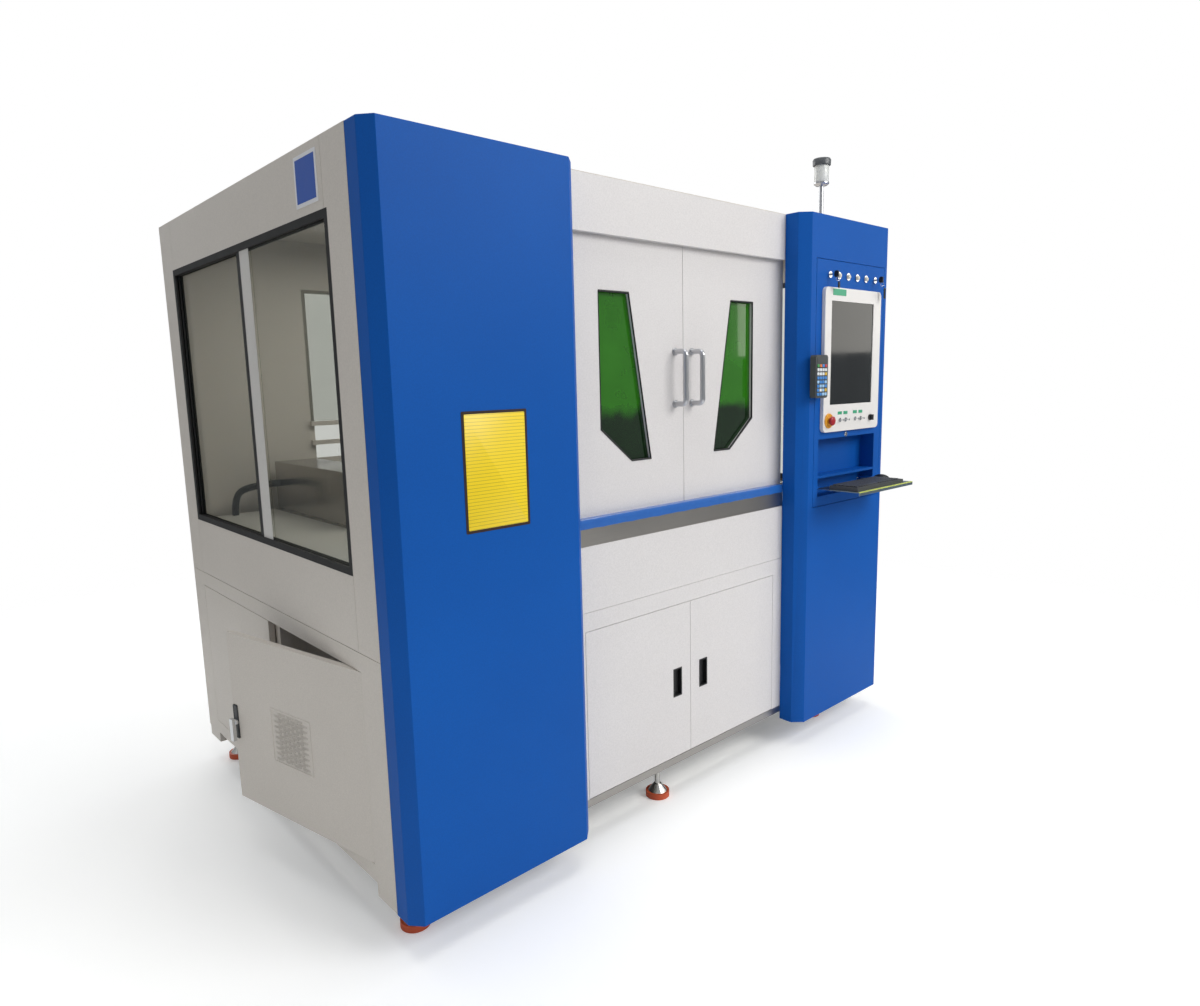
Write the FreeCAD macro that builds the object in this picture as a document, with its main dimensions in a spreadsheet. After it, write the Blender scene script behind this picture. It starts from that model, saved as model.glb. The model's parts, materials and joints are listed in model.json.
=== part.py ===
import FreeCAD, Part
import math
import os
import re
import Sketcher

# Enclosed fibre laser cutting machine, millimetres, +Z up.
# X runs along the front from the left end, Y runs from the front to the back.
# Lengths in the sheet are measured from the left end, the front plane and the
# underside of the cabinet; the document's origin is on the floor under the
# centre of the front left levelling foot.

doc = FreeCAD.newDocument("FiberLaserCutter")
sheet = doc.addObject("Spreadsheet::Sheet", "Sizes")

SIZES = [
    ("wide", 2497, "overall width between the two end planes"),
    ("deep", 1647, "depth from the front plane to the back plane"),
    ("high", 2100, "height of the cabinet above its feet"),
    ("skin", 2, "sheet steel thickness"),
    ("column_w", 666, "width of each blue corner column"),
    ("column_out", 97, "how far a column stands out of the front plane"),
    ("slope_y", 38, "depth of the sloped column corners"),
    ("slope_end", 32, "width of the sloped corner at the machine's end"),
    ("slope_mid", 40, "width of the sloped corner beside the doors"),
    ("post_w", 58, "corner post width along the front"),
    ("post_d", 118, "corner post depth"),
    ("head_z", 1926, "underside of the header over the upper doors"),
    ("sill_z", 936, "lower edge of the steel sill strip"),
    ("sill_high", 90, "height of the steel sill strip"),
    ("rail_z", 651, "top of the lower door opening"),
    ("apron_z", 714, "lower edge of the white apron"),
    ("toe_z", 33, "lower edge of the threshold strip"),
    ("toe_high", 27, "height of the threshold strip"),
    ("stile_w", 59, "width of the stiles beside the lower doors"),
    ("front_d", 40, "depth of the lower front frame"),
    ("gap", 2, "gap round a hinged door"),
    ("leaf", 20, "thickness of a hinged door"),
    ("hinge_in", 12, "hinge axis from the door's edge"),
    ("hinge_deep", 5, "hinge axis behind the door's face"),
    ("pin_r", 3, "hinge pin radius"),
    ("pin_long", 14, "length of a hinge pin"),
    ("pin_gap", 0.05, "radial clearance of a hinge pin"),
    ("pull_x", 53, "pull cup's near edge from the seam"),
    ("pull_w", 40, "width of the pull cup"),
    ("pull_z", 301, "bottom of the pull cup"),
    ("pull_high", 103, "height of the pull cup"),
    ("pull_deep", 15, "depth of the pull cup"),
    ("slide_y", 27, "face of the upper doors behind the front plane"),
    ("slide_d", 22, "thickness of the upper doors"),
    ("slide_gap", 0.5, "running clearance of the upper doors"),
    ("slide_z", 1010.5, "bottom of the upper doors"),
    ("slide_high", 959, "height of the upper doors"),
    ("slide_lap", 26, "how far an upper door reaches behind its column"),
    ("seam", 1.5, "gap between the two upper doors"),
    ("glass_d", 6, "thickness of the laser safety glass"),
    ("glass_lap", 14, "how far the glass reaches behind its frame"),
    ("grip_r", 9.5, "tube radius of the upper door handles"),
    ("grip_x", 45, "handle from the seam"),
    ("glass_in", 408, "inner edge of the laser window from the seam"),
    ("glass_notch", 1309, "lower end of the window's inner edge"),
    ("glass_top", 1757, "top of the laser window"),
    ("glass_lean", 270, "upper outer corner of the laser window from the seam"),
    ("glass_out", 171, "lower outer corner of the laser window from the seam"),
    ("glass_low", 1195, "bottom of the laser window"),
    ("glass_foot", 267, "inner end of the laser window's bottom"),
    ("leaf_reach", 600, "datum of the laser window sketches from the seam"),
    ("grip_z", 1381, "lower end of the handle"),
    ("grip_high", 184, "distance between the handle's feet"),
    ("grip_out", 52, "handle's reach from the door to its axis"),
    ("grip_bend", 16, "bend radius of the handle"),
    ("seam_z", 738, "joint between the upper and lower end panels"),
    ("skirt_z", 45, "bottom of the end and rear panels"),
    ("win_y", 127, "front edge of the end window"),
    ("win_z", 955, "bottom of the end window"),
    ("win_high", 968, "height of the end window"),
    ("fold_y", 143, "seam above the end window from the front plane"),
    ("groove_w", 1.5, "width of the open seams"),
    ("groove_d", 1.2, "depth of the open seams"),
    ("rear_x", 560, "rear window from the end plane"),
    ("rear_w", 560, "width of a rear window"),
    ("rear_z", 1150, "bottom of the rear windows"),
    ("rear_high", 730, "height of the rear windows"),
    ("bar_low", 1210, "lower guard bar"),
    ("bar_top", 1296, "upper guard bar"),
    ("bar_w", 20, "thickness of the guard bars"),
    ("rear_lap", 15, "lap of the rear panes"),
    ("frame_w", 22, "width of the window frame bars"),
    ("frame_d", 28, "depth of the window frame"),
    ("pane_d", 4, "thickness of the window panes"),
    ("pane_gap", 0.5, "running clearance of the window panes"),
    ("groove", 12, "depth of the pane grooves"),
    ("stile_near", 110, "width of the front pane's stile and seal"),
    ("stile_far", 30, "width of the back pane's stile"),
    ("side_z", 100, "bottom of the side doors"),
    ("side_high", 580, "height of the side doors"),
    ("side_y", 124, "front edge of the front side door"),
    ("jamb_w", 69, "width of the post between the side doors"),
    ("bar_d", 22, "thickness of the lower end frame"),
    ("ajar", 12, "angle at which the front side door stands open"),
    ("vent_s", 268, "louvre panel from the door's hinge axis"),
    ("vent_w", 188, "width of the louvre panel"),
    ("vent_z", 196, "louvre panel above the door's bottom"),
    ("vent_high", 162, "height of the louvre panel"),
    ("slit_w", 38, "length of one louvre slit"),
    ("slit_high", 3.2, "height of one louvre slit"),
    ("latch_s", 672, "latch from the door's hinge axis"),
    ("latch_z", 271, "latch spindle above the door's bottom"),
    ("tube", 56, "bed frame tube"),
    ("frame_x", 62, "bed frame from the end plane"),
    ("frame_y", 42, "bed frame from the front plane"),
    ("deck_z", 945, "top of the work deck"),
    ("deck_d", 5, "thickness of the work deck"),
    ("bed_x", 600, "cutting table from the end plane"),
    ("bed_y", 190, "cutting table from the front plane"),
    ("bed_long", 1280, "length of the cutting table"),
    ("well_long", 1220, "length of the deck's opening"),
    ("bin_long", 1180, "length of the scrap bin"),
    ("bed_bar", 30, "width of the table's bars"),
    ("bed_high", 60, "height of the table's bars"),
    ("slat_d", 3, "thickness of a support slat"),
    ("slat_high", 78, "height of a support slat"),
    ("slat_step", 60, "pitch of the support slats"),
    ("tooth", 30, "pitch of the slat teeth"),
    ("tooth_deep", 14, "depth of the slat teeth"),
    ("bin_high", 340, "height of the scrap bin"),
    ("foot_high", 108, "height of the levelling feet"),
    ("foot_x", 90, "front left foot from the end plane"),
    ("foot_y", 70, "front left foot from the front plane"),
    ("foot_step", 1043, "distance between feet along the front"),
    ("pad_r", 45, "radius of the foot pads"),
    ("pad_high", 22, "thickness of the foot pads"),
    ("stud_r", 10, "radius of the foot studs"),
    ("duct_r", 125, "outer radius of the exhaust collar"),
    ("duct_high", 70, "height of the exhaust collar"),
    ("duct_y", 1400, "exhaust collar from the front plane"),
    ("lamp_x", 2135, "signal lamp from the end plane"),
    ("lamp_y", 34, "signal lamp behind the front plane"),
    ("lamp_high", 266, "height of the signal lamp"),
    ("lamp_r", 30, "radius of the lamp body"),
    ("cover_x", 352, "rail cover from the end plane"),
    ("cover_y", 880, "rail cover from the front plane"),
    ("cover_w", 178, "width of the rail cover"),
    ("cover_high", 208, "height of the rail cover"),
    ("cover_end", 1600, "back end of the rail covers"),
    ("way_x", 536, "gantry way from the end plane"),
    ("way_y", 210, "front end of the gantry ways"),
    ("way_w", 58, "width of the gantry ways"),
    ("way_high", 150, "height of the gantry ways"),
    ("rail_w", 20, "width of the guide rails"),
    ("rail_high", 18, "height of the guide rails"),
    ("run_gap", 0.3, "running clearance on the guide rails"),
    ("truck_y", 1130, "front of the gantry trucks"),
    ("truck_long", 220, "length of the gantry trucks"),
    ("truck_high", 50, "height of the gantry trucks"),
    ("beam_d", 130, "depth of the gantry beam"),
    ("beam_high", 120, "height of the gantry beam"),
    ("car_w", 170, "width of the cross carriage"),
    ("car_d", 34, "depth of the cross carriage"),
    ("head_w", 96, "width of the cutting head body"),
    ("head_high", 260, "height of the cutting head body"),
    ("hose_r", 15, "outer radius of the corrugated hose"),
    ("hose_x", 160, "hose from the end plane"),
    ("hose_y", 1565, "hose from the front plane"),
    ("hose_rise", 73, "first rise of the hose above the deck"),
    ("hose_lean", 54, "run of the hose while it bends over"),
    ("hose_z", 1062, "middle of the hose where it enters the rail cover"),
    ("panel_x", 1908, "control panel from the end plane"),
    ("panel_w", 533, "width of the control panel"),
    ("panel_z", 929, "bottom of the control panel"),
    ("panel_high", 999, "height of the control panel"),
    ("panel_gap", 2, "gap round the control panel"),
    ("bezel_x", 1950, "screen bezel from the end plane"),
    ("bezel_w", 444, "width of the screen bezel"),
    ("bezel_z", 1236, "bottom of the screen bezel"),
    ("bezel_high", 585, "height of the screen bezel"),
    ("bezel_d", 15, "thickness of the screen bezel"),
    ("bezel_r", 20, "corner radius of the screen bezel"),
    ("screen_x", 1998, "screen from the end plane"),
    ("screen_w", 334, "width of the screen"),
    ("screen_z", 1348, "bottom of the screen"),
    ("screen_high", 420, "height of the screen"),
    ("screen_in", 3, "screen behind the bezel's face"),
    ("screen_d", 70, "depth of the screen unit"),
    ("cubby_x", 1941, "keyboard cubby from the end plane"),
    ("cubby_w", 452, "width of the keyboard cubby"),
    ("cubby_z", 970, "bottom of the keyboard cubby"),
    ("cubby_high", 238, "height of the keyboard cubby"),
    ("cubby_d", 67, "depth of the keyboard cubby"),
    ("shelf_z", 1055, "top of the shelf across the cubby"),
    ("shelf_lip", 10, "height of the shelf's front fold"),
    ("tray_z", 1004, "top of the keyboard tray"),
    ("tray_out", 190, "keyboard tray in front of the column"),
    ("tray_in", 5, "keyboard tray inside the column"),
    ("tray_d", 3, "thickness of the keyboard tray"),
    ("arm_w", 12, "width of the tray's slide arms"),
    ("arm_long", 47, "length of the tray's slide arms"),
    ("ledge_w", 14, "width of the ledges that carry the tray"),
    ("ledge_high", 8, "height of the ledges that carry the tray"),
    ("keys_w", 376, "width of the keyboard"),
    ("keys_d", 128, "depth of the keyboard"),
    ("keys_high", 16, "height of the keyboard case"),
    ("key_step", 19, "pitch of the key caps"),
    ("switch_z", 1871, "row of push buttons above the screen"),
    ("switch_x", 2068, "first push button from the end plane"),
    ("switch_step", 71.5, "pitch of the push buttons"),
    ("switch_r", 11, "radius of a push button cap"),
    ("lock_left", 2000, "left key switch from the end plane"),
    ("lock_right", 2358, "right key switch from the end plane"),
    ("stop_x", 1990, "emergency stop from the end plane"),
    ("row_z", 1283, "row of switches below the screen"),
    ("stop_r", 19, "radius of the emergency stop button"),
    ("toggle_x", 2076, "first toggle switch from the end plane"),
    ("toggle_step", 45, "pitch of each pair of toggle switches"),
    ("toggle_skip", 32, "extra space between the two pairs of toggles"),
    ("knob_x", 2323, "selector knob from the end plane"),
    ("knob_r", 13, "radius of the selector knob"),
    ("press", 5, "travel of a push button"),
    ("hand_x", 1849, "hand pendant from the end plane"),
    ("hand_w", 88, "width of the hand pendant"),
    ("hand_z", 1380, "bottom of the hand pendant"),
    ("hand_high", 170, "height of the hand pendant"),
    ("hand_d", 26, "thickness of the hand pendant"),
    ("magnet_r", 16, "radius of the pendant's magnet pad"),
    ("magnet_d", 14, "thickness of the pendant's magnet pad"),
]

ALIASES = set()
VALUE = {}
for row, (alias, value, note) in enumerate(SIZES, start=1):
    sheet.set("A%d" % row, note)
    sheet.set("B%d" % row, str(value))
    sheet.setAlias("B%d" % row, alias)
    ALIASES.add(alias)
    VALUE[alias] = value
doc.recompute()

WORD = re.compile(r"[a-z][a-z_]*")
MID = "wide / 2"
NODES = []

X_AXIS = FreeCAD.Rotation(FreeCAD.Vector(0, 1, 0), 90)
Y_AXIS = FreeCAD.Rotation(FreeCAD.Vector(1, 0, 0), -90)
FORWARD = FreeCAD.Rotation(FreeCAD.Vector(1, 0, 0), 90)
Z_AXIS = FreeCAD.Rotation()


def size(text):
    """Put the sheet's name before each of its aliases."""
    return WORD.sub(lambda m: "Sizes." + m.group(0) if m.group(0) in ALIASES else m.group(0), text)


def bind(thing, prop, text):
    thing.setExpression(prop, size(text))


def place(thing, x, y, z):
    """Place a piece from the left end, the front plane and the cabinet's underside."""
    bind(thing, "Placement.Base.x", "(%s) - foot_x" % x)
    bind(thing, "Placement.Base.y", "(%s) - foot_y" % y)
    bind(thing, "Placement.Base.z", "(%s) + foot_high" % z)


def box(name, x, y, z, lx, ly, lz):
    thing = doc.addObject("Part::Box", name)
    bind(thing, "Length", lx)
    bind(thing, "Width", ly)
    bind(thing, "Height", lz)
    place(thing, x, y, z)
    return thing


def rod(name, x, y, z, radius, length, turn=Z_AXIS):
    thing = doc.addObject("Part::Cylinder", name)
    bind(thing, "Radius", radius)
    bind(thing, "Height", length)
    thing.Placement = FreeCAD.Placement(FreeCAD.Vector(), turn)
    place(thing, x, y, z)
    return thing


def cone(name, x, y, z, low, top, length, turn=Z_AXIS):
    thing = doc.addObject("Part::Cone", name)
    bind(thing, "Radius1", low)
    bind(thing, "Radius2", top)
    bind(thing, "Height", length)
    thing.Placement = FreeCAD.Placement(FreeCAD.Vector(), turn)
    place(thing, x, y, z)
    return thing


def bend(name, x, y, z, radius, tube, turn):
    """A quarter of a tube bend."""
    thing = doc.addObject("Part::Torus", name)
    bind(thing, "Radius1", radius)
    bind(thing, "Radius2", tube)
    thing.Angle3 = 90
    thing.Placement = FreeCAD.Placement(FreeCAD.Vector(), turn)
    place(thing, x, y, z)
    return thing


def join(name, things):
    thing = doc.addObject("Part::MultiFuse", name)
    thing.Shapes = things
    thing.Refine = True
    return thing


def group(name, things):
    """Separate solids that share one node."""
    thing = doc.addObject("Part::Compound", name)
    thing.Links = things
    return thing


def cut(name, base, tools):
    tool = tools[0]
    if len(tools) > 1:
        tool = group(name + "_tools", tools)
    thing = doc.addObject("Part::Cut", name)
    thing.Base = base
    thing.Tool = tool
    return thing


def node(thing, label):
    thing.Label = label
    NODES.append(thing)
    return thing


def origin_plane(body, role):
    for feature in body.Origin.OriginFeatures:
        if feature.Role == role:
            return feature
    raise ValueError(role)


def sketch_on(body, name, role, depth=None):
    sketch = body.newObject("Sketcher::SketchObject", name)
    sketch.AttachmentSupport = (origin_plane(body, role), [""])
    sketch.MapMode = "FlatFace"
    if depth:
        bind(sketch, "AttachmentOffset.Base.z", depth)
    return sketch


def outline(sketch, points):
    """Closed outline whose corners are dimensioned from the sketch's origin."""
    first = sketch.GeometryCount
    known = [evaluate(pair) for pair in points]
    count = len(points)
    for number in range(count):
        start = FreeCAD.Vector(*known[number], 0)
        end = FreeCAD.Vector(*known[(number + 1) % count], 0)
        sketch.addGeometry(Part.LineSegment(start, end), False)
    for number in range(count):
        following = first + (number + 1) % count
        sketch.addConstraint(Sketcher.Constraint("Coincident", first + number, 2, following, 1))
    for number, pair in enumerate(points):
        for kind, axis, text, at in (("DistanceX", -2, pair[0], known[number][0]),
                                     ("DistanceY", -1, pair[1], known[number][1])):
            if text == "0":
                sketch.addConstraint(Sketcher.Constraint("PointOnObject", first + number, 1, axis))
                continue
            where = sketch.addConstraint(Sketcher.Constraint(kind, -1, 1, first + number, 1, at))
            sketch.setExpression("Constraints[%d]" % where, size(text))


def evaluate(pair):
    """Numbers of a pair of size texts, worked out by the sheet itself."""
    numbers = []
    for text in pair:
        sheet.set("D1", "=" + text)
        sheet.recompute()
        numbers.append(float(sheet.get("D1")))
    return numbers


def pad(body, name, sketch, length, reverse=False):
    thing = body.newObject("PartDesign::Pad", name)
    thing.Profile = sketch
    bind(thing, "Length", length)
    thing.Reversed = reverse
    sketch.Visibility = False
    return thing


def pocket(body, name, sketch, length, reverse=False):
    """Cut a pocket and make sure that it takes material away."""
    doc.recompute()
    before = body.Shape.Volume
    thing = body.newObject("PartDesign::Pocket", name)
    thing.Profile = sketch
    bind(thing, "Length", length)
    thing.Reversed = reverse
    doc.recompute()
    if not body.Shape.Volume < before:
        raise RuntimeError(name + " cuts nothing")
    return thing


def mirror_x(side, x, width="0"):
    """The same place on the left or the right half of the machine."""
    if side == "left":
        return x
    return "wide - (%s) - (%s)" % (x, width)


# ---------------------------------------------------------------- bed

def base_frame():
    """Welded bed: lower ring, uprights and upper ring of square tube."""
    things = []
    span = "wide - 2 * frame_x"
    reach = "deep - 2 * frame_y"
    for level, z in (("low", "0"), ("top", "deck_z - deck_d - tube")):
        for end, y in (("front", "frame_y"), ("back", "deep - frame_y - tube")):
            things.append(box("bed_%s_%s" % (level, end), "frame_x", y, z, span, "tube", "tube"))
        for end, x in (("left", "frame_x"), ("right", "wide - frame_x - tube"),
                       ("inner_left", "bed_x + 60"), ("inner_right", "wide - bed_x - 60 - tube")):
            things.append(box("bed_%s_%s" % (level, end), x, "frame_y", z, "tube", reach, "tube"))
    tall = "deck_z - deck_d - 2 * tube"
    for column, x in (("left", "frame_x"), ("middle", "foot_x + foot_step - tube / 2"),
                      ("right", "wide - frame_x - tube")):
        for end, y in (("front", "frame_y"), ("back", "deep - frame_y - tube")):
            things.append(box("bed_leg_%s_%s" % (column, end), x, y, "tube", "tube", "tube", tall))
    node(join("base_frame", things), "base_frame")


def work_deck():
    """Deck plate inside the enclosure, open under the cutting table."""
    plate = box("deck_plate", "frame_x", "frame_y + 18", "deck_z - deck_d",
                "wide - 2 * frame_x", "deep - 2 * frame_y - 18", "deck_d")
    well = box("deck_well", "bed_x + bed_bar + 90", "bed_y + bed_bar", "deck_z - 2 * deck_d",
               "wide - 2 * (bed_x + bed_bar + 90)", "well_long", "3 * deck_d")
    node(cut("work_deck", plate, [well]), "work_deck")


def slat_frame():
    """Rectangular table frame that carries the support slats."""
    wide = "wide - 2 * bed_x"
    long = "bed_long"
    outer = box("table_outer", "bed_x", "bed_y", "deck_z", wide, long, "bed_high")
    inner = box("table_inner", "bed_x + bed_bar", "bed_y + bed_bar", "deck_z - 1",
                "wide - 2 * (bed_x + bed_bar)", "bed_long - 2 * bed_bar", "bed_high + 2")
    ring = cut("table_ring", outer, [inner])
    ledges = []
    for side in ("left", "right"):
        x = mirror_x(side, "bed_x + bed_bar", "12")
        ledges.append(box("table_ledge_" + side, x, "bed_y + bed_bar", "deck_z", "12",
                          "bed_long - 2 * bed_bar", "6"))
    node(join("slat_frame", [ring] + ledges), "slat_frame")


def support_slats():
    """Toothed steel slats standing on the table's ledges."""
    body = doc.addObject("PartDesign::Body", "slat_body")
    sketch = sketch_on(body, "slat_outline", "XZ_Plane")
    length = VALUE["wide"] - 2 * (VALUE["bed_x"] + VALUE["bed_bar"])
    teeth = int(length // VALUE["tooth"])
    points = [("0", "0"), ("wide - 2 * (bed_x + bed_bar)", "0"),
              ("wide - 2 * (bed_x + bed_bar)", "slat_high - tooth_deep")]
    for number in range(teeth, 0, -1):
        points.append(("%d * tooth" % number, "slat_high - tooth_deep"))
        points.append(("%d * tooth - tooth / 2" % number, "slat_high"))
    points.append(("0", "slat_high - tooth_deep"))
    if length - teeth * VALUE["tooth"] < 1e-6:
        points.pop(2)
    outline(sketch, points)
    pad(body, "slat_pad", sketch, "slat_d", True)
    doc.recompute()
    slats = []
    room = VALUE["bed_long"] - 2 * VALUE["bed_bar"]
    count = int((room - VALUE["slat_step"]) // VALUE["slat_step"]) + 1
    for number in range(count):
        link = doc.addObject("Part::Compound", "slat_%02d" % number)
        link.Links = [body]
        place(link, "bed_x + bed_bar", "bed_y + bed_bar + slat_step / 2 + %d * slat_step" % number,
              "deck_z + 6")
        slats.append(link)
    node(group("support_slats", slats), "support_slats")


def scrap_bin():
    """Open steel bin under the cutting table, standing on the lower cross tubes."""
    outer = box("bin_outer", "bed_x + 60", "bed_y + 50", "tube", "wide - 2 * bed_x - 120", "bin_long",
                "bin_high")
    inner = box("bin_inner", "bed_x + 60 + skin", "bed_y + 50 + skin", "tube + skin",
                "wide - 2 * bed_x - 120 - 2 * skin", "bin_long - 2 * skin", "bin_high")
    node(cut("scrap_bin", outer, [inner]), "scrap_bin")


# ---------------------------------------------------------------- enclosure

def column_points(inset):
    """Corner column seen from above, inset by one thickness for its inside."""
    t = inset
    low = "0" if t == "0" else t
    return [("%s" % low, "column_out"),
            ("%s" % low, "slope_y" if t == "0" else "slope_y + 0.4 * %s" % t),
            ("slope_end" if t == "0" else "slope_end + 0.4 * %s" % t, low),
            ("column_w - slope_mid" if t == "0" else "column_w - slope_mid - 0.4 * %s" % t, low),
            ("column_w" if t == "0" else "column_w - %s" % t,
             "slope_y" if t == "0" else "slope_y + 0.4 * %s" % t),
            ("column_w" if t == "0" else "column_w - %s" % t, "column_out")]


def turned(points, side):
    """Column outline for the left or the right column."""
    if side == "left":
        return points
    return [("0" if x == "column_w" else "column_w - (%s)" % x, y) for x, y in points]


def column_shell(side):
    """Folded column: front, sloped corners and sides in one bent sheet, with end caps."""
    label = side + "_column_shell"
    body = doc.addObject("PartDesign::Body", side + "_column_body")
    outer = sketch_on(body, side + "_column_outer", "XY_Plane")
    outline(outer, turned(column_points("0"), side))
    pad(body, side + "_column_pad", outer, "high")
    inner = sketch_on(body, side + "_column_inner", "XY_Plane", "skin")
    points = turned(column_points("skin"), side)
    points[0] = (points[0][0], "column_out + 1")
    points[-1] = (points[-1][0], "column_out + 1")
    outline(inner, points)
    pocket(body, side + "_column_hollow", inner, "high - 2 * skin", True)
    place(body, mirror_x(side, "0", "column_w"), "0 - column_out", "0")
    if side == "left":
        node(body, label)
        return
    hole = box("panel_hole", "panel_x - panel_gap", "0 - column_out - 1", "panel_z - panel_gap",
               "panel_w + 2 * panel_gap", "skin + 2", "panel_high + 2 * panel_gap")
    lips = []
    for end, z in (("low", "panel_z - panel_gap - 12"), ("top", "panel_z + panel_high + panel_gap")):
        lips.append(box("panel_lip_" + end, "panel_x", "0 - column_out + skin", z, "panel_w",
                        "6", "12"))
    shell = cut("right_column_cut", body, [hole])
    tabs = []
    for end, z in (("low", "panel_z - 8"), ("top", "panel_z + panel_high - 8")):
        tabs.append(box("panel_tab_" + end, "panel_x + 20", "0 - column_out + 8", z,
                        "panel_w - 40", "skin", "16"))
    node(join(label, [shell] + lips + tabs), label)


def header_panel():
    """White header over the upper doors, folded back at its edges."""
    x = "column_w"
    w = "wide - 2 * column_w"
    things = [box("header_face", x, "0", "head_z", w, "skin", "high - head_z - skin"),
              box("header_soffit", x, "0", "head_z", w, "slide_y - 6", "skin"),
              box("header_top", x, "0", "high - 2 * skin", w, "slide_y + slide_d + 4", "skin"),
              box("header_hanger", x, "slide_y - 6 - skin", "head_z", w, "skin", "40")]
    node(join("header_panel", things), "header_panel")


def sill_strip():
    """Stainless strip under the upper doors, folded back over the door track."""
    x = "column_w"
    w = "wide - 2 * column_w"
    things = [box("sill_face", x, "0", "sill_z", w, "skin", "sill_high"),
              box("sill_top", x, "0", "sill_z + sill_high - skin", w, "slide_y - 5", "skin"),
              box("sill_foot", x, "0", "sill_z", w, "frame_y", "skin")]
    node(join("sill_strip", things), "sill_strip")


def front_apron():
    """White apron between the sill strip and the lower doors."""
    x = "column_w"
    w = "wide - 2 * column_w"
    tall = "sill_z - apron_z - 1"
    things = [box("apron_face", x, "0", "apron_z + 1", w, "skin", "sill_z - apron_z - 1"),
              box("apron_low", x, "0", "apron_z + 1", w, "front_d", "skin"),
              box("apron_top", x, "0", "sill_z - skin", w, "front_d", "skin")]
    for side in ("left", "right"):
        at = mirror_x(side, "column_w", "skin")
        things.append(box("apron_side_" + side, at, "0", "apron_z + 1", "skin", "front_d", tall))
    node(join("front_apron", things), "front_apron")


def lower_front_frame():
    """Stiles and rail round the lower doors, with the upper hinge pins."""
    w = "wide - 2 * column_w"
    toe = "toe_z + toe_high"
    things = [box("lower_rail", "column_w", "0", "rail_z", w, "front_d", "apron_z - rail_z")]
    for side in ("left", "right"):
        x = mirror_x(side, "column_w", "stile_w")
        things.append(box("lower_stile_" + side, x, "0", toe, "stile_w", "front_d",
                          "apron_z - " + toe.replace(" + ", " - ")))
        pin = mirror_x(side, "column_w + stile_w + gap + hinge_in")
        things.append(rod("lower_pin_top_" + side, pin, "hinge_deep", "rail_z - gap - pin_long + 2",
                          "pin_r", "pin_long + gap"))
    node(join("lower_front_frame", things), "lower_front_frame")


def threshold_strip():
    """Stainless threshold under the lower doors, with the lower hinge pins."""
    w = "wide - 2 * column_w"
    things = [box("toe_bar", "column_w", "0", "toe_z", w, "front_d", "toe_high")]
    for side in ("left", "right"):
        pin = mirror_x(side, "column_w + stile_w + gap + hinge_in")
        things.append(rod("lower_pin_foot_" + side, pin, "hinge_deep", "toe_z + toe_high - 2",
                          "pin_r", "pin_long + gap"))
    node(join("threshold_strip", things), "threshold_strip")


def lower_door(side):
    """Hinged lower door: a folded leaf with a well for its pull."""
    label = "lower_door_" + side
    width = "wide / 2 - column_w - stile_w - gap - 1"
    x = mirror_x(side, "column_w + stile_w + gap", width)
    z = "toe_z + toe_high + gap"
    tall = "rail_z - toe_z - toe_high - 2 * gap"
    leaf = box(label + "_leaf", x, "0", z, width, "leaf", tall)
    back = box(label + "_back", mirror_x(side, "column_w + stile_w + gap + 30", width + " - 120"),
               "skin", z + " + 30", width + " - 120", "leaf", tall + " - 60")
    well_x = mirror_x(side, "wide / 2 - pull_x - pull_w", "pull_w")
    well = box(label + "_well", well_x, "-1", "pull_z", "pull_w", "leaf + 2", "pull_high")
    tools = [back, well]
    pin = mirror_x(side, "column_w + stile_w + gap + hinge_in")
    for end, at in (("low", z), ("top", z + " + " + tall + " - pin_long - 1")):
        tools.append(rod("%s_bore_%s" % (label, end), pin, "hinge_deep", at + " - 0.01",
                         "pin_r + pin_gap", "pin_long + 1.02"))
    node(cut(label, leaf, tools), label)


def lower_pull(side):
    """Recessed plastic pull cup with a thin rim on the door's face."""
    label = "lower_pull_" + side
    x = mirror_x(side, "wide / 2 - pull_x - pull_w", "pull_w")
    rim = box(label + "_rim", "(%s) - 3" % x, "0 - 1.5", "pull_z - 3", "pull_w + 6", "1.5",
              "pull_high + 6")
    cup = box(label + "_cup", x, "-1", "pull_z", "pull_w", "pull_deep + 1", "pull_high")
    hollow = box(label + "_hollow", "(%s) + 2" % x, "-2", "pull_z + 2", "pull_w - 4",
                 "pull_deep", "pull_high - 4")
    solid = join(label + "_solid", [rim, cup])
    node(cut(label, solid, [hollow]), label)


def window_corners(lap):
    """Laser window of the left door, from the seam and upward, with an all-round lap."""
    grow = " + %s" % lap
    less = " - %s" % lap
    return [("glass_in" + grow, "glass_notch" + less), ("glass_in" + grow, "glass_top" + grow),
            ("glass_lean" + less, "glass_top" + grow), ("glass_out" + less, "glass_low" + less),
            ("glass_foot" + grow, "glass_low" + less)]


def upper_door(side):
    """Sliding door with a slanted window opening and a rebate for the glass."""
    label = "upper_door_" + side
    body = doc.addObject("PartDesign::Body", label + "_body")
    width = "wide / 2 - column_w + slide_lap - seam / 2"
    left = side == "left"

    def across(text):
        near = "(%s) - seam / 2" % text
        return "(%s) - (%s)" % (width, near) if left else near

    leaf = sketch_on(body, label + "_outline", "XZ_Plane")
    outline(leaf, [("0", "0"), (width, "0"), (width, "slide_high"), ("0", "slide_high")])
    pad(body, label + "_pad", leaf, "slide_d", True)
    hole = sketch_on(body, label + "_window", "XZ_Plane")
    outline(hole, [(across(x), "(%s) - slide_z" % z) for x, z in window_corners("0")])
    pocket(body, label + "_window_cut", hole, "slide_d")
    seat = sketch_on(body, label + "_rebate", "XZ_Plane", "0 - slide_d + glass_d + 1")
    outline(seat, [(across(x), "(%s) - slide_z" % z) for x, z in window_corners("glass_lap")])
    pocket(body, label + "_rebate_cut", seat, "glass_d + 1")
    x = "column_w - slide_lap" if left else "wide / 2 + seam / 2"
    place(body, x, "slide_y", "slide_z")
    node(body, label)


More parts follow.
